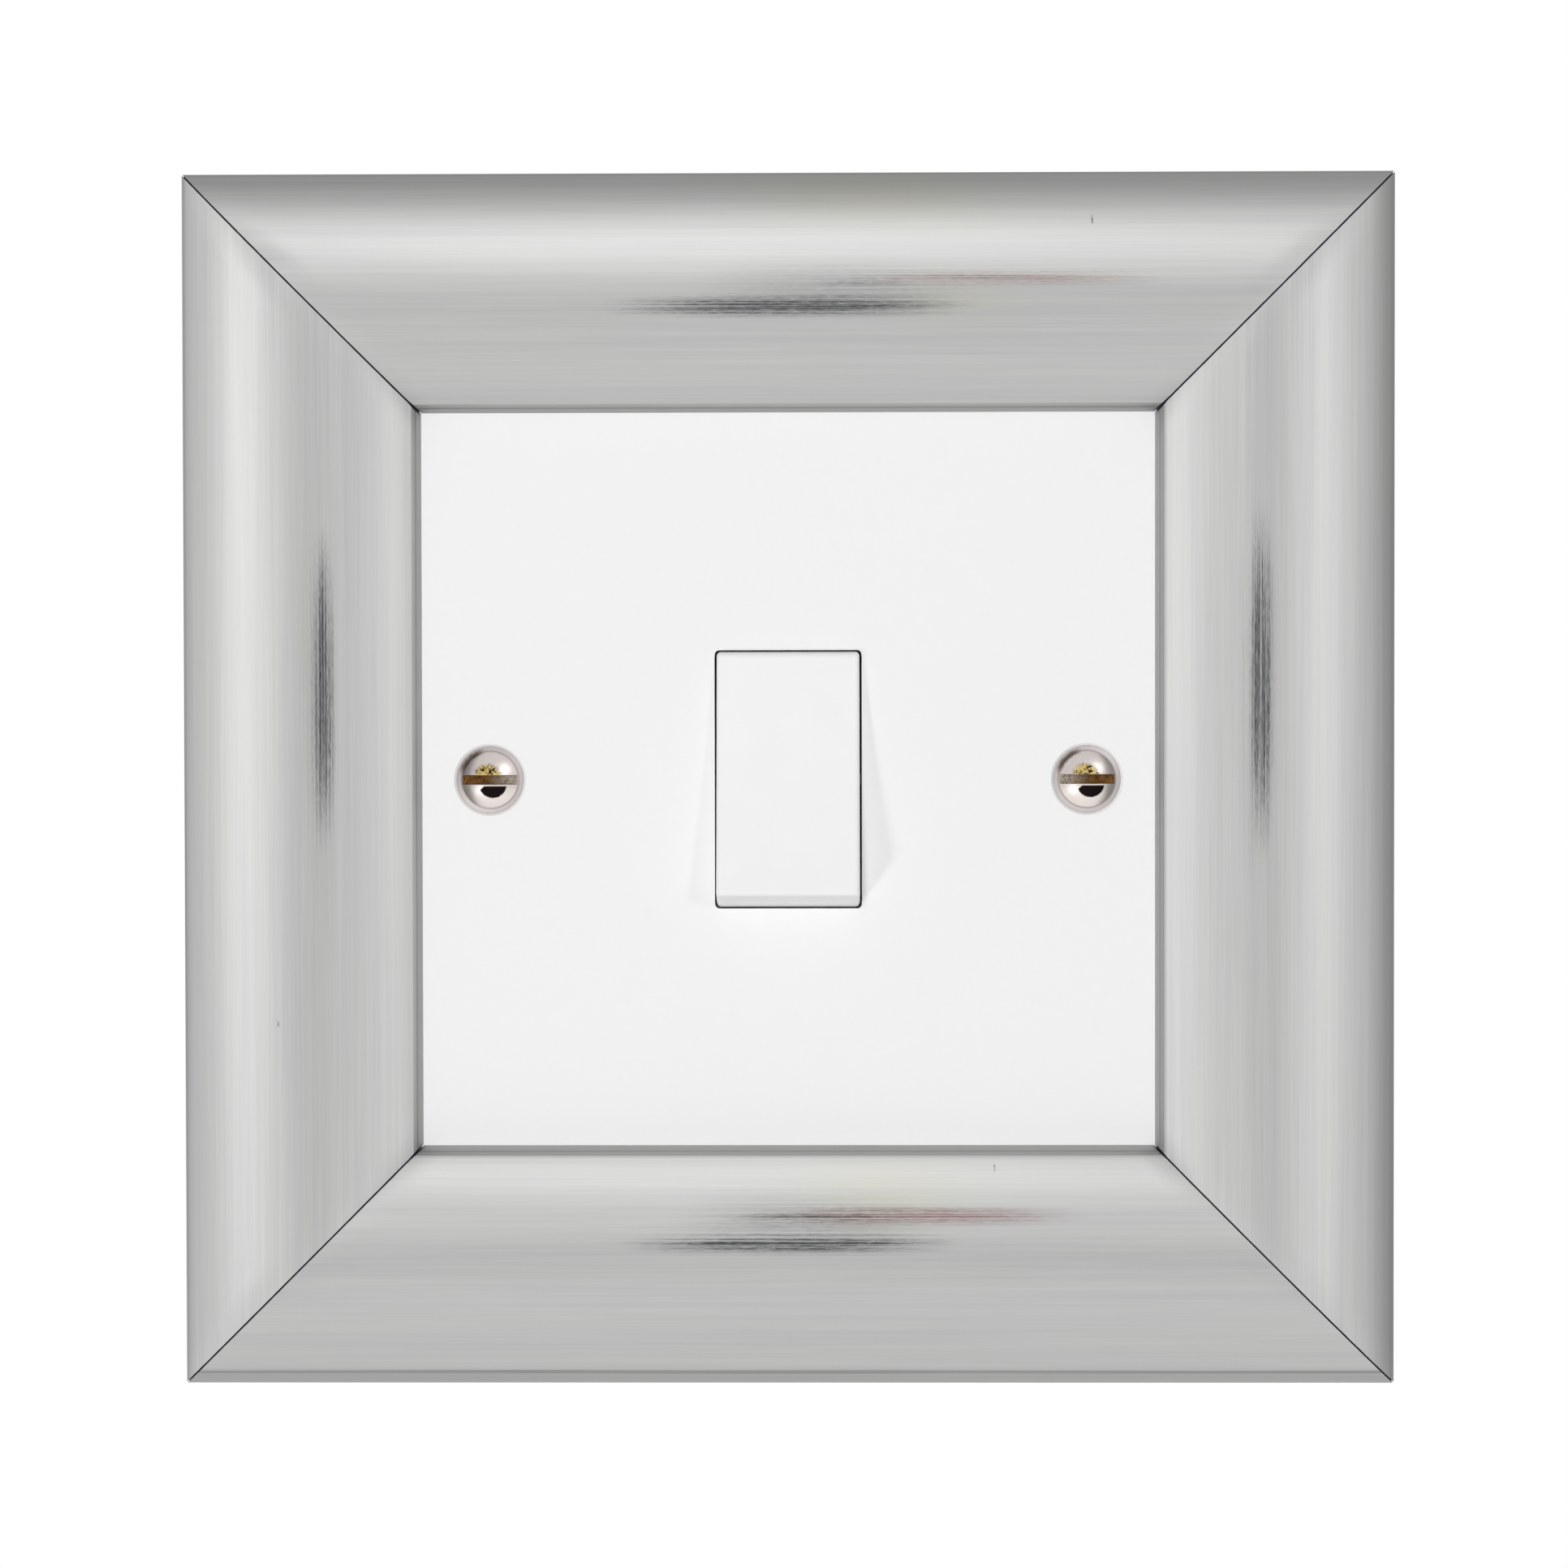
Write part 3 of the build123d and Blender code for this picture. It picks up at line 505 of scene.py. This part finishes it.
def pilotHole(side, turn):
    shape, sides = pilotShape, pilotShape["sides"]
    lip = railShape["lipHeight"]
    angle = math.radians(turn)
    vertices = []
    for height in (lip - railShape["cutterOut"], lip + shape["depth"]):
        for i in range(sides):
            step = 2 * math.pi * i / sides
            s = side * shape["along"] + shape["radius"] * math.sin(step)
            reach = shape["reach"] + shape["radius"] * math.cos(step)
            x = s * math.cos(angle) + reach * math.sin(angle)
            z = -s * math.sin(angle) + reach * math.cos(angle)
            vertices.append((x * mm, -height * mm, z * mm))
    faces = [tuple(range(sides)), tuple(range(2 * sides - 1, sides - 1, -1))]
    faces += [(i, i + sides, (i + 1) % sides + sides, (i + 1) % sides) for i in range(sides)]
    return vertices, faces


def makeRail(rail, turn, woods):
    shape = railShape
    section, foilEdge = railSection()
    count = len(section)
    inner = min(reach for reach, height in section)
    inward = []
    for i, point in enumerate(section):
        step = Vector(section[(i + 1) % count]) - Vector(section[i - 1])
        inward.append(Vector((step.y, -step.x)).normalized())
    dice = random.Random(turn + 5)
    easing = []
    for reach, height in section:
        tip = max(0.0, 1 - (reach - inner) / shape["cornerWidth"])
        shown = 1.0 if height > shape["lipHeight"] else shape["hiddenEase"]
        lost = shape["mitreEase"] * dice.uniform(*shape["easeSpread"]) + shape["cornerEase"] * tip
        easing.append(lost * shown)
    # each ring: place along the rail, ease taken off its length, ease taken off the section, core or not, gap
    mitreGap, lengths = shape["mitreGap"], shape["lengths"]
    end = [(0.0, 0.0, True, shape["coreGap"]), (0.0, 1.0, True, mitreGap)]
    end += [(back, deep, False, mitreGap) for deep, back in shape["easeArc"]]
    rings = [(-1, *step) for step in end]
    rings += [(2 * i / lengths - 1, 1.0, 0.0, False, mitreGap) for i in range(1, lengths)]
    rings += [(1, *step) for step in reversed(end)]
    coreReach, coreHeight = shape["coreMiddle"]
    angle = math.radians(turn)
    vertices = []
    for place, back, deep, core, gap in rings:
        for (reach, height), way, ease in zip(section, inward, easing):
            sunkReach, sunkHeight = reach + way.x * ease * deep, height + way.y * ease * deep
            if core:
                sunkReach = coreReach + (reach - coreReach) * shape["coreShare"]
                sunkHeight = coreHeight + (height - coreHeight) * shape["coreShare"]
            s = place * (sunkReach - gap / math.sqrt(2) - ease * back)
            x = s * math.cos(angle) + sunkReach * math.sin(angle)
            z = -s * math.sin(angle) + sunkReach * math.cos(angle)
            vertices.append((x * mm, -sunkHeight * mm, z * mm))
    faces, finishes = [], []
    for ring in range(len(rings) - 1):
        for i in range(count):
            j = (i + 1) % count
            a, b = ring * count, (ring + 1) * count
            faces.append((a + i, a + j, b + j, b + i))
            bare = foilEdge <= i < foilEdge + 3
            eased = min(ring, len(rings) - 2 - ring) < len(end) - 1
            finishes.append(2 if eased else 1 if bare else 0)
    faces.append(tuple(range(count - 1, -1, -1)))
    faces.append(tuple((len(rings) - 1) * count + i for i in range(count)))
    finishes += [2, 2]
    coats = [silverFoil(rail, turn), *woods]
    piece = pieceFrom(rail + "_moulding", "wall_part", coats, vertices, faces, finishes)
    for side in (-1, 1):
        cutWith(piece, *nailGroove(side, turn), cutFinish=1)
        cutWith(piece, *pilotHole(side, turn), cutFinish=1)
    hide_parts(rail)
    return piece


levelWood = rawWood("woodAlongX", woodLook["alongX"])
uprightWood = rawWood("woodAlongZ", woodLook["alongZ"])
mitreFace = stainedMitre()
for rail, turn in railShape["turns"].items():
    makeRail(rail, turn, [uprightWood if turn in (90, 270) else levelWood, mitreFace])
print("moulding made")


# plate and rocker

# painted shade in the gap beside the rocker: how far from the plate's middle a surface is still unshaded, and
# is fully shaded
gapShape = {
    "plateSide": (7.44, 7.42),                    # the plate's opening ends 7.4 out
    "plateEnd": (12.8, 12.3),
    "pinStart": (7.21, 7.26),                     # the rocker's pins start at its sides, 7.2 out
    "pinSquare": (4.0, 3.0),                      # the squares of two distances from the pins' axis
    "pivotOffWall": 3.0,
    "carrierSide": (7.9, 7.6),
    "carrierEnd": (12.7, 12.4),
}

paintLook = {
    "white": (grey(0.858), grey(0.875)),
    "cutEdge": (0.05, 0.045, 0.045, 1.0),
    "roughness": 0.30,
}

# each plastic piece: its finish, colour, roughness, and its grain's scale, strength and depth in millimetres
plastics = {
    "rocker": ("rockerWhite", (0.880, 0.878, 0.876), 0.2, (2.5, 0.05, 0.01)),
    "rocker_carrier": ("carrierWhite", (0.80, 0.80, 0.78), 0.42, (6.0, 0.2, 0.02)),
    "contact_base": ("baseCream", (0.72, 0.715, 0.68), 0.5, (5.0, 0.3, 0.03)),
    "plunger": ("plungerNylon", (0.72, 0.69, 0.60), 0.45, (4.0, 0.1, 0.01)),
}
# painted shade, seen through the gap beside the rocker
gapShadeColour = (0.02, 0.017, 0.015, 1.0)


def whitePaint():
    look = paintLook
    paint = Finish("whitePaint", Roughness=0.34)
    x, y, z = paint.places()
    peel = paint.noise(paint.point(x, y, z), scale=1.1, detail=2.0)
    colour = paint.mixColours(peel, *look["white"])
    # painted shade on the long side walls of the rocker's opening
    cutEdge = abs(x).ramp(*gapShape["plateSide"]) * abs(z).ramp(*gapShape["plateEnd"])
    paint.feed("Base Color", paint.mixColours(cutEdge, colour, look["cutEdge"]))
    paint.feed("Roughness", look["roughness"] + peel * 0.08)
    paint.bump(peel, 0.12, 0.02)
    return paint


def onPins(x, y, z):                              # the rocker's two pivot pins, out beyond its sides
    fromAxis = (y + gapShape["pivotOffWall"]) ** 2 + z ** 2
    return abs(x).ramp(*gapShape["pinStart"]) * fromAxis.ramp(*gapShape["pinSquare"])


def inOpening(x, y, z):                           # what lies behind the long sides of the rocker's opening
    return abs(x).ramp(*gapShape["carrierSide"]) * abs(z).ramp(*gapShape["carrierEnd"])


# painted shade on the rocker's pins and on the carrier behind the opening's long sides
gapShadePlaces = {"rocker": onPins, "rocker_carrier": inOpening}


def whiteMoulding(name, colour, roughness, grain, shadedWhere=None):
    scale, strength, depth = grain
    plastic = Finish(name, Roughness=roughness)
    x, y, z = plastic.places()
    cloud = plastic.noise(plastic.point(x, y, z), scale=0.25, detail=2.0)
    grainy = plastic.noise(plastic.point(x, y, z), scale=scale, detail=3.0)
    darker = tuple(c * 0.96 for c in colour) + (1.0,)
    white = plastic.mixColours(cloud, darker, (*colour, 1.0))
    # painted shade where the piece is seen through the gap
    if shadedWhere:
        white = plastic.mixColours(shadedWhere(x, y, z), white, gapShadeColour)
    plastic.feed("Base Color", white)
    plastic.feed("Roughness", roughness + (grainy - 0.5) * 0.1)
    plastic.bump(grainy, strength, depth)
    return plastic


wear("front_plate", whitePaint())
for node, settings in plastics.items():
    wear(node, whiteMoulding(*settings, gapShadePlaces.get(node)))
print("plate, rocker and mouldings finished")


# metals

def metal(name, colour, roughness, lines, stain=None, stainShare=0.3):
    bright = Finish(name, Metallic=1.0, Roughness=roughness)
    x, y, z = bright.places()
    drawn = bright.noise(bright.point(x * lines[0], y * lines[1], z * lines[2]), detail=3.0, roughness=0.65)
    blotch = bright.noise(bright.point(x, y, z), scale=0.6, detail=3.0)
    darker = tuple(c * 0.85 for c in colour) + (1.0,)
    tint = bright.mixColours(drawn, darker, (*colour, 1.0))
    if stain:
        tint = bright.mixColours(blotch.ramp(0.45, 0.75) * stainShare, tint, (*stain, 1.0))
    bright.feed("Base Color", tint)
    bright.feed("Roughness", roughness + (drawn - 0.5) * 0.15 + (blotch - 0.5) * 0.1)
    bright.bump(drawn, 0.12, 0.01)
    return bright


zincPlate = metal("zincPlate", (0.62, 0.63, 0.64), 0.38, (1.5, 1.5, 1.5), (0.45, 0.45, 0.44))
yellowZinc = metal("yellowZinc", (0.72, 0.66, 0.46), 0.34, (3.0, 3.0, 3.0), (0.52, 0.40, 0.38), 0.4)
drawnBrass = metal("drawnBrass", (0.80, 0.62, 0.33), 0.30, (3.0, 0.3, 3.0), (0.45, 0.29, 0.13))
rolledBrass = metal("rolledBrass", (0.78, 0.58, 0.32), 0.33, (0.4, 3.0, 3.0), (0.48, 0.26, 0.14))
silverTip = metal("silverTip", (0.86, 0.85, 0.82), 0.28, (2.0, 2.0, 2.0), (0.5, 0.47, 0.42))
springWire = metal("springWire", (0.50, 0.50, 0.50), 0.30, (4.0, 4.0, 4.0))

for node in ("corner_v_nails", "frame_screws"):
    wear(node, zincPlate)
for node in ("terminal_screws", "module_screws", "earth_screw"):
    wear(node, yellowZinc)
for node in ("upper_terminal", "common_terminal", "lower_terminal", "earth_terminal", "module_pillars"):
    wear(node, drawnBrass)
for node in ("moving_contact", "common_bracket", "upper_contact_strip", "lower_contact_strip"):
    wear(node, rolledBrass)
for node in ("moving_contact_tips", "fixed_contact_tips"):
    wear(node, silverTip)
wear("plunger_spring", springWire)
print("metals finished")


# fixing screws: turned heads, and threads along the shanks

screwShape = {
    "spacing": 60.3,
    "headHeight": 4.8,         # plane of the head's rim, off the wall
    "headRadius": 3.4,
    "domeRadius": 2.86,
    "domeRise": 0.85,
    "domeSteps": 18,
    "rimRise": 0.12,
    "rimEdge": [(0.05, 0.03), (0.0, 0.0), (0.03, -0.06)],      # in from the rim, and above its plane
    "shankRadius": 1.75,
    "neck": [(0.02, 0.0), (0.0, -0.05)],       # out from the shank, and above the cone's foot
    "plainLength": 0.7,        # of the shank, between the cone and the thread
    "rootRadius": 1.42,
    "pitch": 0.6,
    "ringsPerTurn": 8,
    "grooveSlope": 2.6,        # the higher, the narrower the thread's groove
    "length": 25.0,
    "point": 0.7,              # length of the chamfer at the tip
    "pointShare": 1.3,         # how deep it is, as a share of the thread's depth
    "slotWidth": 0.98,
    "slotDepth": 0.78,
    "slotCutterOut": 1.0,      # how far the slot's cutter stands out of the head
    "sides": 72,
}

# places on the head are in millimetres from its own middle, and pairs say where a mark is gone and where full
nickelLook = {
    "dome": ((0.57, 0.51, 0.49, 1.0), (0.63, 0.58, 0.56, 1.0)),
    "rim": (0.50, 0.46, 0.45, 1.0),
    "brownStain": (0.07, 0.04, 0.025, 1.0),
    "slotBrown": ((0.22, 0.11, 0.035, 1.0), (0.05, 0.022, 0.008, 1.0)),
    "slotSilver": ((0.44, 0.39, 0.32, 1.0), (0.15, 0.11, 0.07, 1.0)),
    # colours of painted reflections: gold over the slot, dark under it and in specks
    "brass": (0.62, 0.46, 0.16, 1.0),
    "tarnish": (0.012, 0.008, 0.008, 1.0),
    "roughness": 0.27,
    "rimFade": (0.05, 0.03),   # in and out from the dome's foot
    "footLine": (0.03, 0.13, 0.03, 0.35),      # out from the foot, where gone, where full, how dark
    "ring": (0.08, 0.42, 0.08, 0.85),          # the same for the wider brown stain
    "ringTurn": (1.12, 1.38),  # it lies up and to the left only
    # painted reflections: where the gold patch over the slot and the dark patch under it lie
    "slipPlace": (0.2, 0.55),  # left of the middle, and above it
    "slipReach": (1.1, 0.85),
    "slipFoot": (0.45, 0.55),
    "dirtPlace": (0.33, 0.45),  # right of the middle, and below it
    "dirtReach": (1.45, 1.32),
    "dirtSide": (0.05, 0.25),
    "dirtTop": (-0.6, -0.68),
    "slotEase": 0.05,
    "slotEndInset": 0.1,
    "slotEndEase": 0.06,
    "slotFloorEase": (0.35, 0.1),
    "cleanEnd": (-0.6, 1.8),
}


def nickelPlate():
    look, shape = nickelLook, screwShape
    nickel = Finish("nickelPlate", Metallic=1.0)
    x, y, z = nickel.places()
    side = x.maths("SIGN", x)                     # -1 on the left screw, 1 on the right one
    across = x - side * (shape["spacing"] / 2)
    fromMiddle = (across * across + z * z) ** 0.5
    turned = nickel.noise(nickel.point(x, y, z), scale=2.2, detail=4.0)
    speckle = nickel.noise(nickel.point(x, y, z), scale=9.0, detail=3.0, roughness=0.7)
    colour = nickel.mixColours(turned, *look["dome"])
    foot = shape["domeRadius"]                    # where the dome meets the rim
    inside, outside = look["rimFade"]
    rim = fromMiddle.ramp(foot - inside, foot + outside)
    colour = nickel.mixColours(rim, colour, look["rim"])
    out, gone, full, dark = look["footLine"]
    footLine = abs(fromMiddle - foot - out).ramp(gone, full) * dark
    colour = nickel.mixColours(footLine, colour, look["brownStain"])
    out, gone, full, dark = look["ring"]
    stained = (abs(fromMiddle - foot - out) + (turned - 0.5) * 0.3).ramp(gone, full)
    height = -1 * y - shape["headHeight"]
    onHead = height.ramp(-0.1, 0.0)
    stained = stained * ((z - across) / fromMiddle.atLeast(0.1)).ramp(*look["ringTurn"]) * onHead
    colour = nickel.mixColours(stained * dark, colour, look["brownStain"])
    # painted reflections: a speckled gold and dark patch over the slot, and a dark patch under it
    left, above = look["slipPlace"]
    goldReflection = ((across + left) ** 2 / 1.5 + (z - above) ** 2) ** 0.5 + (speckle - 0.5) * 1.3
    goldReflection = goldReflection.ramp(*look["slipReach"]) * z.ramp(*look["slipFoot"]) * onHead
    goldReflectionColour = nickel.mixColours((turned + speckle * 0.7).ramp(0.74, 0.86), look["tarnish"], look["brass"])
    colour = nickel.mixColours(goldReflection, colour, goldReflectionColour)
    # painted reflection: the dark patch under the slot
    right, below = look["dirtPlace"]
    darkReflection = ((across - right) ** 2 + (z + below) ** 2) ** 0.5 + (speckle - 0.5) * 0.25
    fromSide = across - z * 1.1 + (speckle - 0.5) * 0.3
    darkReflection = darkReflection.ramp(*look["dirtReach"]) * fromSide.ramp(*look["dirtSide"])
    darkReflection = darkReflection * z.ramp(*look["dirtTop"]) * onHead
    colour = nickel.mixColours(darkReflection, colour, look["tarnish"])
    slotFloor = shape["rimRise"] + shape["domeRise"] - shape["slotDepth"]
    halfWidth, halfLength = shape["slotWidth"] / 2, shape["domeRadius"] - look["slotEndInset"]
    ease, endEase = look["slotEase"], look["slotEndEase"]
    overFloor, nearFloor = look["slotFloorEase"]
    inSlot = abs(z).ramp(halfWidth + ease, halfWidth - ease)
    inSlot = inSlot * height.ramp(slotFloor + overFloor, slotFloor + nearFloor)
    inSlot = inSlot * abs(across).ramp(halfLength + endEase, halfLength - endEase) * onHead
    grime = (speckle * 0.6 + turned * 0.4).ramp(0.42, 0.60)
    inward = across * side * -1.0                 # the end nearer the rocker is cleaner
    clean = (inward + (turned - 0.5) * 3.0).ramp(*look["cleanEnd"])
    brown, silver = (nickel.mixColours(grime, *look[tone]) for tone in ("slotBrown", "slotSilver"))
    nickel.feed("Base Color", nickel.mixColours(inSlot, colour, nickel.mixColours(clean, brown, silver)))
    matt = inSlot.atLeast(rim * 0.4).atLeast(goldReflection * 0.6).atLeast(darkReflection)
    nickel.feed("Roughness", look["roughness"] + matt * 0.3 + turned * 0.06)
    nickel.bump(turned * 0.4 + speckle * inSlot.atLeast(goldReflection), 0.5, 0.04)
    return nickel


def makeFixingScrew(name, node, centreX, finish):
    shape = screwShape
    top = shape["rimRise"] + shape["domeRise"]
    capRadius = (shape["domeRadius"] ** 2 + shape["domeRise"] ** 2) / (2 * shape["domeRise"])
    outline = []                                  # radius, height above the rim plane
    for i in range(1, shape["domeSteps"] + 1):
        r = shape["domeRadius"] * i / shape["domeSteps"]
        outline.append((r, top - capRadius + math.sqrt(capRadius ** 2 - r ** 2)))
    outline += [(shape["headRadius"] - inset, h) for inset, h in shape["rimEdge"]]
    shank, threadDepth = shape["shankRadius"], shape["shankRadius"] - shape["rootRadius"]
    coneFoot = shank - shape["headRadius"]
    outline += [(shank + out, coneFoot + h) for out, h in shape["neck"]]
    sides = shape["sides"]
    turnStep = 2 * math.pi / sides
    rings = [[(r, h)] * sides for r, h in outline]
    threadTop, threadFoot = coneFoot - shape["plainLength"], -shape["length"]
    steps = int((threadTop - threadFoot) / shape["pitch"] * shape["ringsPerTurn"])
    for i in range(steps + 1):
        h = threadTop + (threadFoot - threadTop) * i / steps
        runOut = min(1.0, (threadTop - h) / shape["pitch"])
        pointCut = max(0.0, 1 - (h - threadFoot) / shape["point"]) * threadDepth * shape["pointShare"]
        ring = []
        for k in range(sides):
            phase = (h / shape["pitch"] + k / sides) % 1.0
            depth = 1 - min(1.0, abs(phase - 0.5) * shape["grooveSlope"])
            ring.append((min(shank - threadDepth * depth * runOut, shank - pointCut), h))
        rings.append(ring)
    vertices = [(centreX, 0.0, top)]
    for ring in rings:
        for k, (r, h) in enumerate(ring):
            vertices.append((centreX + r * math.cos(k * turnStep), r * math.sin(k * turnStep), h))
    vertices.append((centreX, 0.0, -shape["length"]))
    faces = [(0, 1 + (k + 1) % sides, 1 + k) for k in range(sides)]
    for ring in range(len(rings) - 1):
        a, b = 1 + ring * sides, 1 + (ring + 1) * sides
        faces += [(a + k, a + (k + 1) % sides, b + (k + 1) % sides, b + k) for k in range(sides)]
    a = 1 + (len(rings) - 1) * sides
    faces += [(len(vertices) - 1, a + k, a + (k + 1) % sides) for k in range(sides)]
    # drawn with its axis along Z, then turned so that the head faces -Y
    turned = [(x * mm, -(h + shape["headHeight"]) * mm, y * mm) for x, y, h in vertices]
    piece = pieceFrom(name, "wall_part", [finish], turned, faces, sharp=15.0)
    half, reach = shape["slotWidth"] / 2 * mm, shape["headRadius"] * mm
    front = -(shape["headHeight"] + top + shape["slotCutterOut"]) * mm
    floor = -(shape["headHeight"] + top - shape["slotDepth"]) * mm
    centre = centreX * mm
    square = [(-1, -1), (1, -1), (1, 1), (-1, 1)]
    corners = [(centre + sx * reach, y, sz * half) for y in (front, floor) for sx, sz in square]
    sideFaces = [(i, i + 4, (i + 1) % 4 + 4, (i + 1) % 4) for i in range(4)]
    cutWith(piece, corners, [(0, 1, 2, 3), (7, 6, 5, 4), *sideFaces])
    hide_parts(node)
    return piece


nickel = nickelPlate()
for side, sign in (("left", -1), ("right", 1)):
    centreX = sign * screwShape["spacing"] / 2
    makeFixingScrew("fixing_screw_threaded_" + side, "fixing_screw_" + side, centreX, nickel)
print("fixing screws made")


# floor, room and lamps

stageLook = {
    "floorDrop": 0.45,         # below the part's middle
    "floorSize": 2.4,
    "floorColour": (0.60, 0.60, 0.60, 1.0),
    "floorGlow": 0.95,         # added where the camera or metal sees it
    "roomLevel": 0.20,         # what the room gives to matt surfaces
}


def makeFloor():
    half = stageLook["floorSize"] / 2
    z = -stageLook["floorDrop"]
    mesh = bpy.data.meshes.new("paleFloor")
    corners = [(-half, -half, z), (half, -half, z), (half, half, z), (-half, half, z)]
    mesh.from_pydata(corners, [], [(0, 1, 2, 3)])
    floor = bpy.data.objects.new("paleFloor", mesh)
    bpy.context.scene.collection.objects.link(floor)
    pale = Finish("paleFloor", Base_Color=stageLook["floorColour"], Roughness=0.9, Emission_Strength=1.0)
    seen = pale.seenDirectly()
    glow = pale.mixColours(seen, (0.0, 0.0, 0.0, 1.0), grey(stageLook["floorGlow"]))
    pale.feed("Emission Color", glow)
    mesh.materials.append(pale.material)


def makeRoom():
    world = bpy.data.worlds.new("room")
    bpy.context.scene.world = world
    world.use_nodes = True
    room = Nodes(world.node_tree)
    room.tree.nodes.clear()
    level = stageLook["roomLevel"]
    plain = room.node("ShaderNodeBackground", values={"Color": grey(1.0), "Strength": level})
    white = room.node("ShaderNodeBackground", values={"Color": grey(1.0), "Strength": 1.0})
    mixed = room.node("ShaderNodeMixShader", values={0: room.seenDirectly(), 1: plain[0], 2: white[0]})
    room.node("ShaderNodeOutputWorld", values={0: mixed[0]})


# lamps: degrees to the right of the plate's normal, degrees above it, distance, size, watts, and what takes
# their light: matt surfaces (matt), the same with some shadows left out (open), or the gloss of some pieces
lamps = {
    "frontLamp": (-6.0, 13.0, 1.2, 0.40, 7.75, "open"),
    "lowLeftLamp": (-43.0, -34.0, 1.2, 0.18, 3.2, "open"),
    "rightFillLamp": (38.0, 8.0, 1.2, 0.16, 1.5, "open"),
    "backLamp": (160.0, 25.0, 1.2, 0.90, 8.0, "matt"),
    "leftLamp": (-59.0, 4.0, 0.95, 0.50, 1.6, "moulding"),
    "topLamp": (-4.0, 51.0, 0.95, 0.30, 1.4, "moulding"),
    "rightLamp": (52.0, 4.0, 0.95, 0.42, 1.15, "moulding"),
    "upperScrewLamp": (29.0, 22.0, 0.95, 0.36, 0.8, "screws"),
    "lowerScrewLamp": (-27.0, -25.0, 0.95, 0.36, 0.8, "screws"),
}
pieces = [piece for piece in bpy.data.objects if piece.type == "MESH"]
glossTakers = {
    "moulding": [piece for piece in pieces if piece.name.endswith("_moulding")],
    "screws": [piece for piece in pieces if piece.name.startswith("fixing_screw_threaded")],
}
# the moulding's own shadow is left out, with those of the fasteners that it hides
noShadow = glossTakers["moulding"] + [nodes["frame_screws"], nodes["corner_v_nails"]]
shadowGivers = [piece for piece in pieces if piece not in noShadow]


def grouped(name, members):
    group = bpy.data.collections.new(name)
    for piece in members:
        group.objects.link(piece)
    return group


def makeLamp(name, right, up, distance, size, watts, lights):
    light = bpy.data.lights.new(name, "AREA")
    light.shape = "DISK"
    light.size = size
    light.energy = watts
    lamp = bpy.data.objects.new(name, light)
    bpy.context.scene.collection.objects.link(lamp)
    a, e = math.radians(right), math.radians(up)
    towards = Vector((math.sin(a) * math.cos(e), -math.cos(a) * math.cos(e), math.sin(e)))
    lamp.location = towards * distance
    lamp.rotation_euler = towards.to_track_quat("Z", "Y").to_euler()
    lamp.visible_glossy = lights in glossTakers
    lamp.visible_diffuse = lights not in glossTakers
    if lights in glossTakers:
        lamp.light_linking.receiver_collection = grouped(name + "Takers", glossTakers[lights])
    if lights == "open":
        lamp.light_linking.blocker_collection = grouped(name + "Blockers", shadowGivers)


makeFloor()
makeRoom()
for name, settings in lamps.items():
    makeLamp(name, *settings)
print("room and lamps made")


# camera, fitted to the photograph's corners and screws

cameraFit = {
    "place": (3.38, -360.0, 5.52),
    "right": -0.615,           # degrees turned to the right
    "up": -0.966,
    "roll": -0.1,
    "lens": 80.71,
    "sensor": 36.0,
}
cameraData = bpy.data.cameras.new("photoCamera")
cameraData.sensor_width = cameraFit["sensor"]
cameraData.lens = cameraFit["lens"]
camera = bpy.data.objects.new("photoCamera", cameraData)
bpy.context.scene.collection.objects.link(camera)
aim = Matrix.Rotation(math.radians(-cameraFit["right"]), 4, "Z")
aim = aim @ Matrix.Rotation(math.radians(90 + cameraFit["up"]), 4, "X")
aim = aim @ Matrix.Rotation(math.radians(cameraFit["roll"]), 4, "Z")
camera.matrix_world = Matrix.Translation(Vector(cameraFit["place"]) * mm) @ aim
bpy.context.scene.camera = camera
bpy.context.scene.view_settings.view_transform = "Standard"
print("camera set")
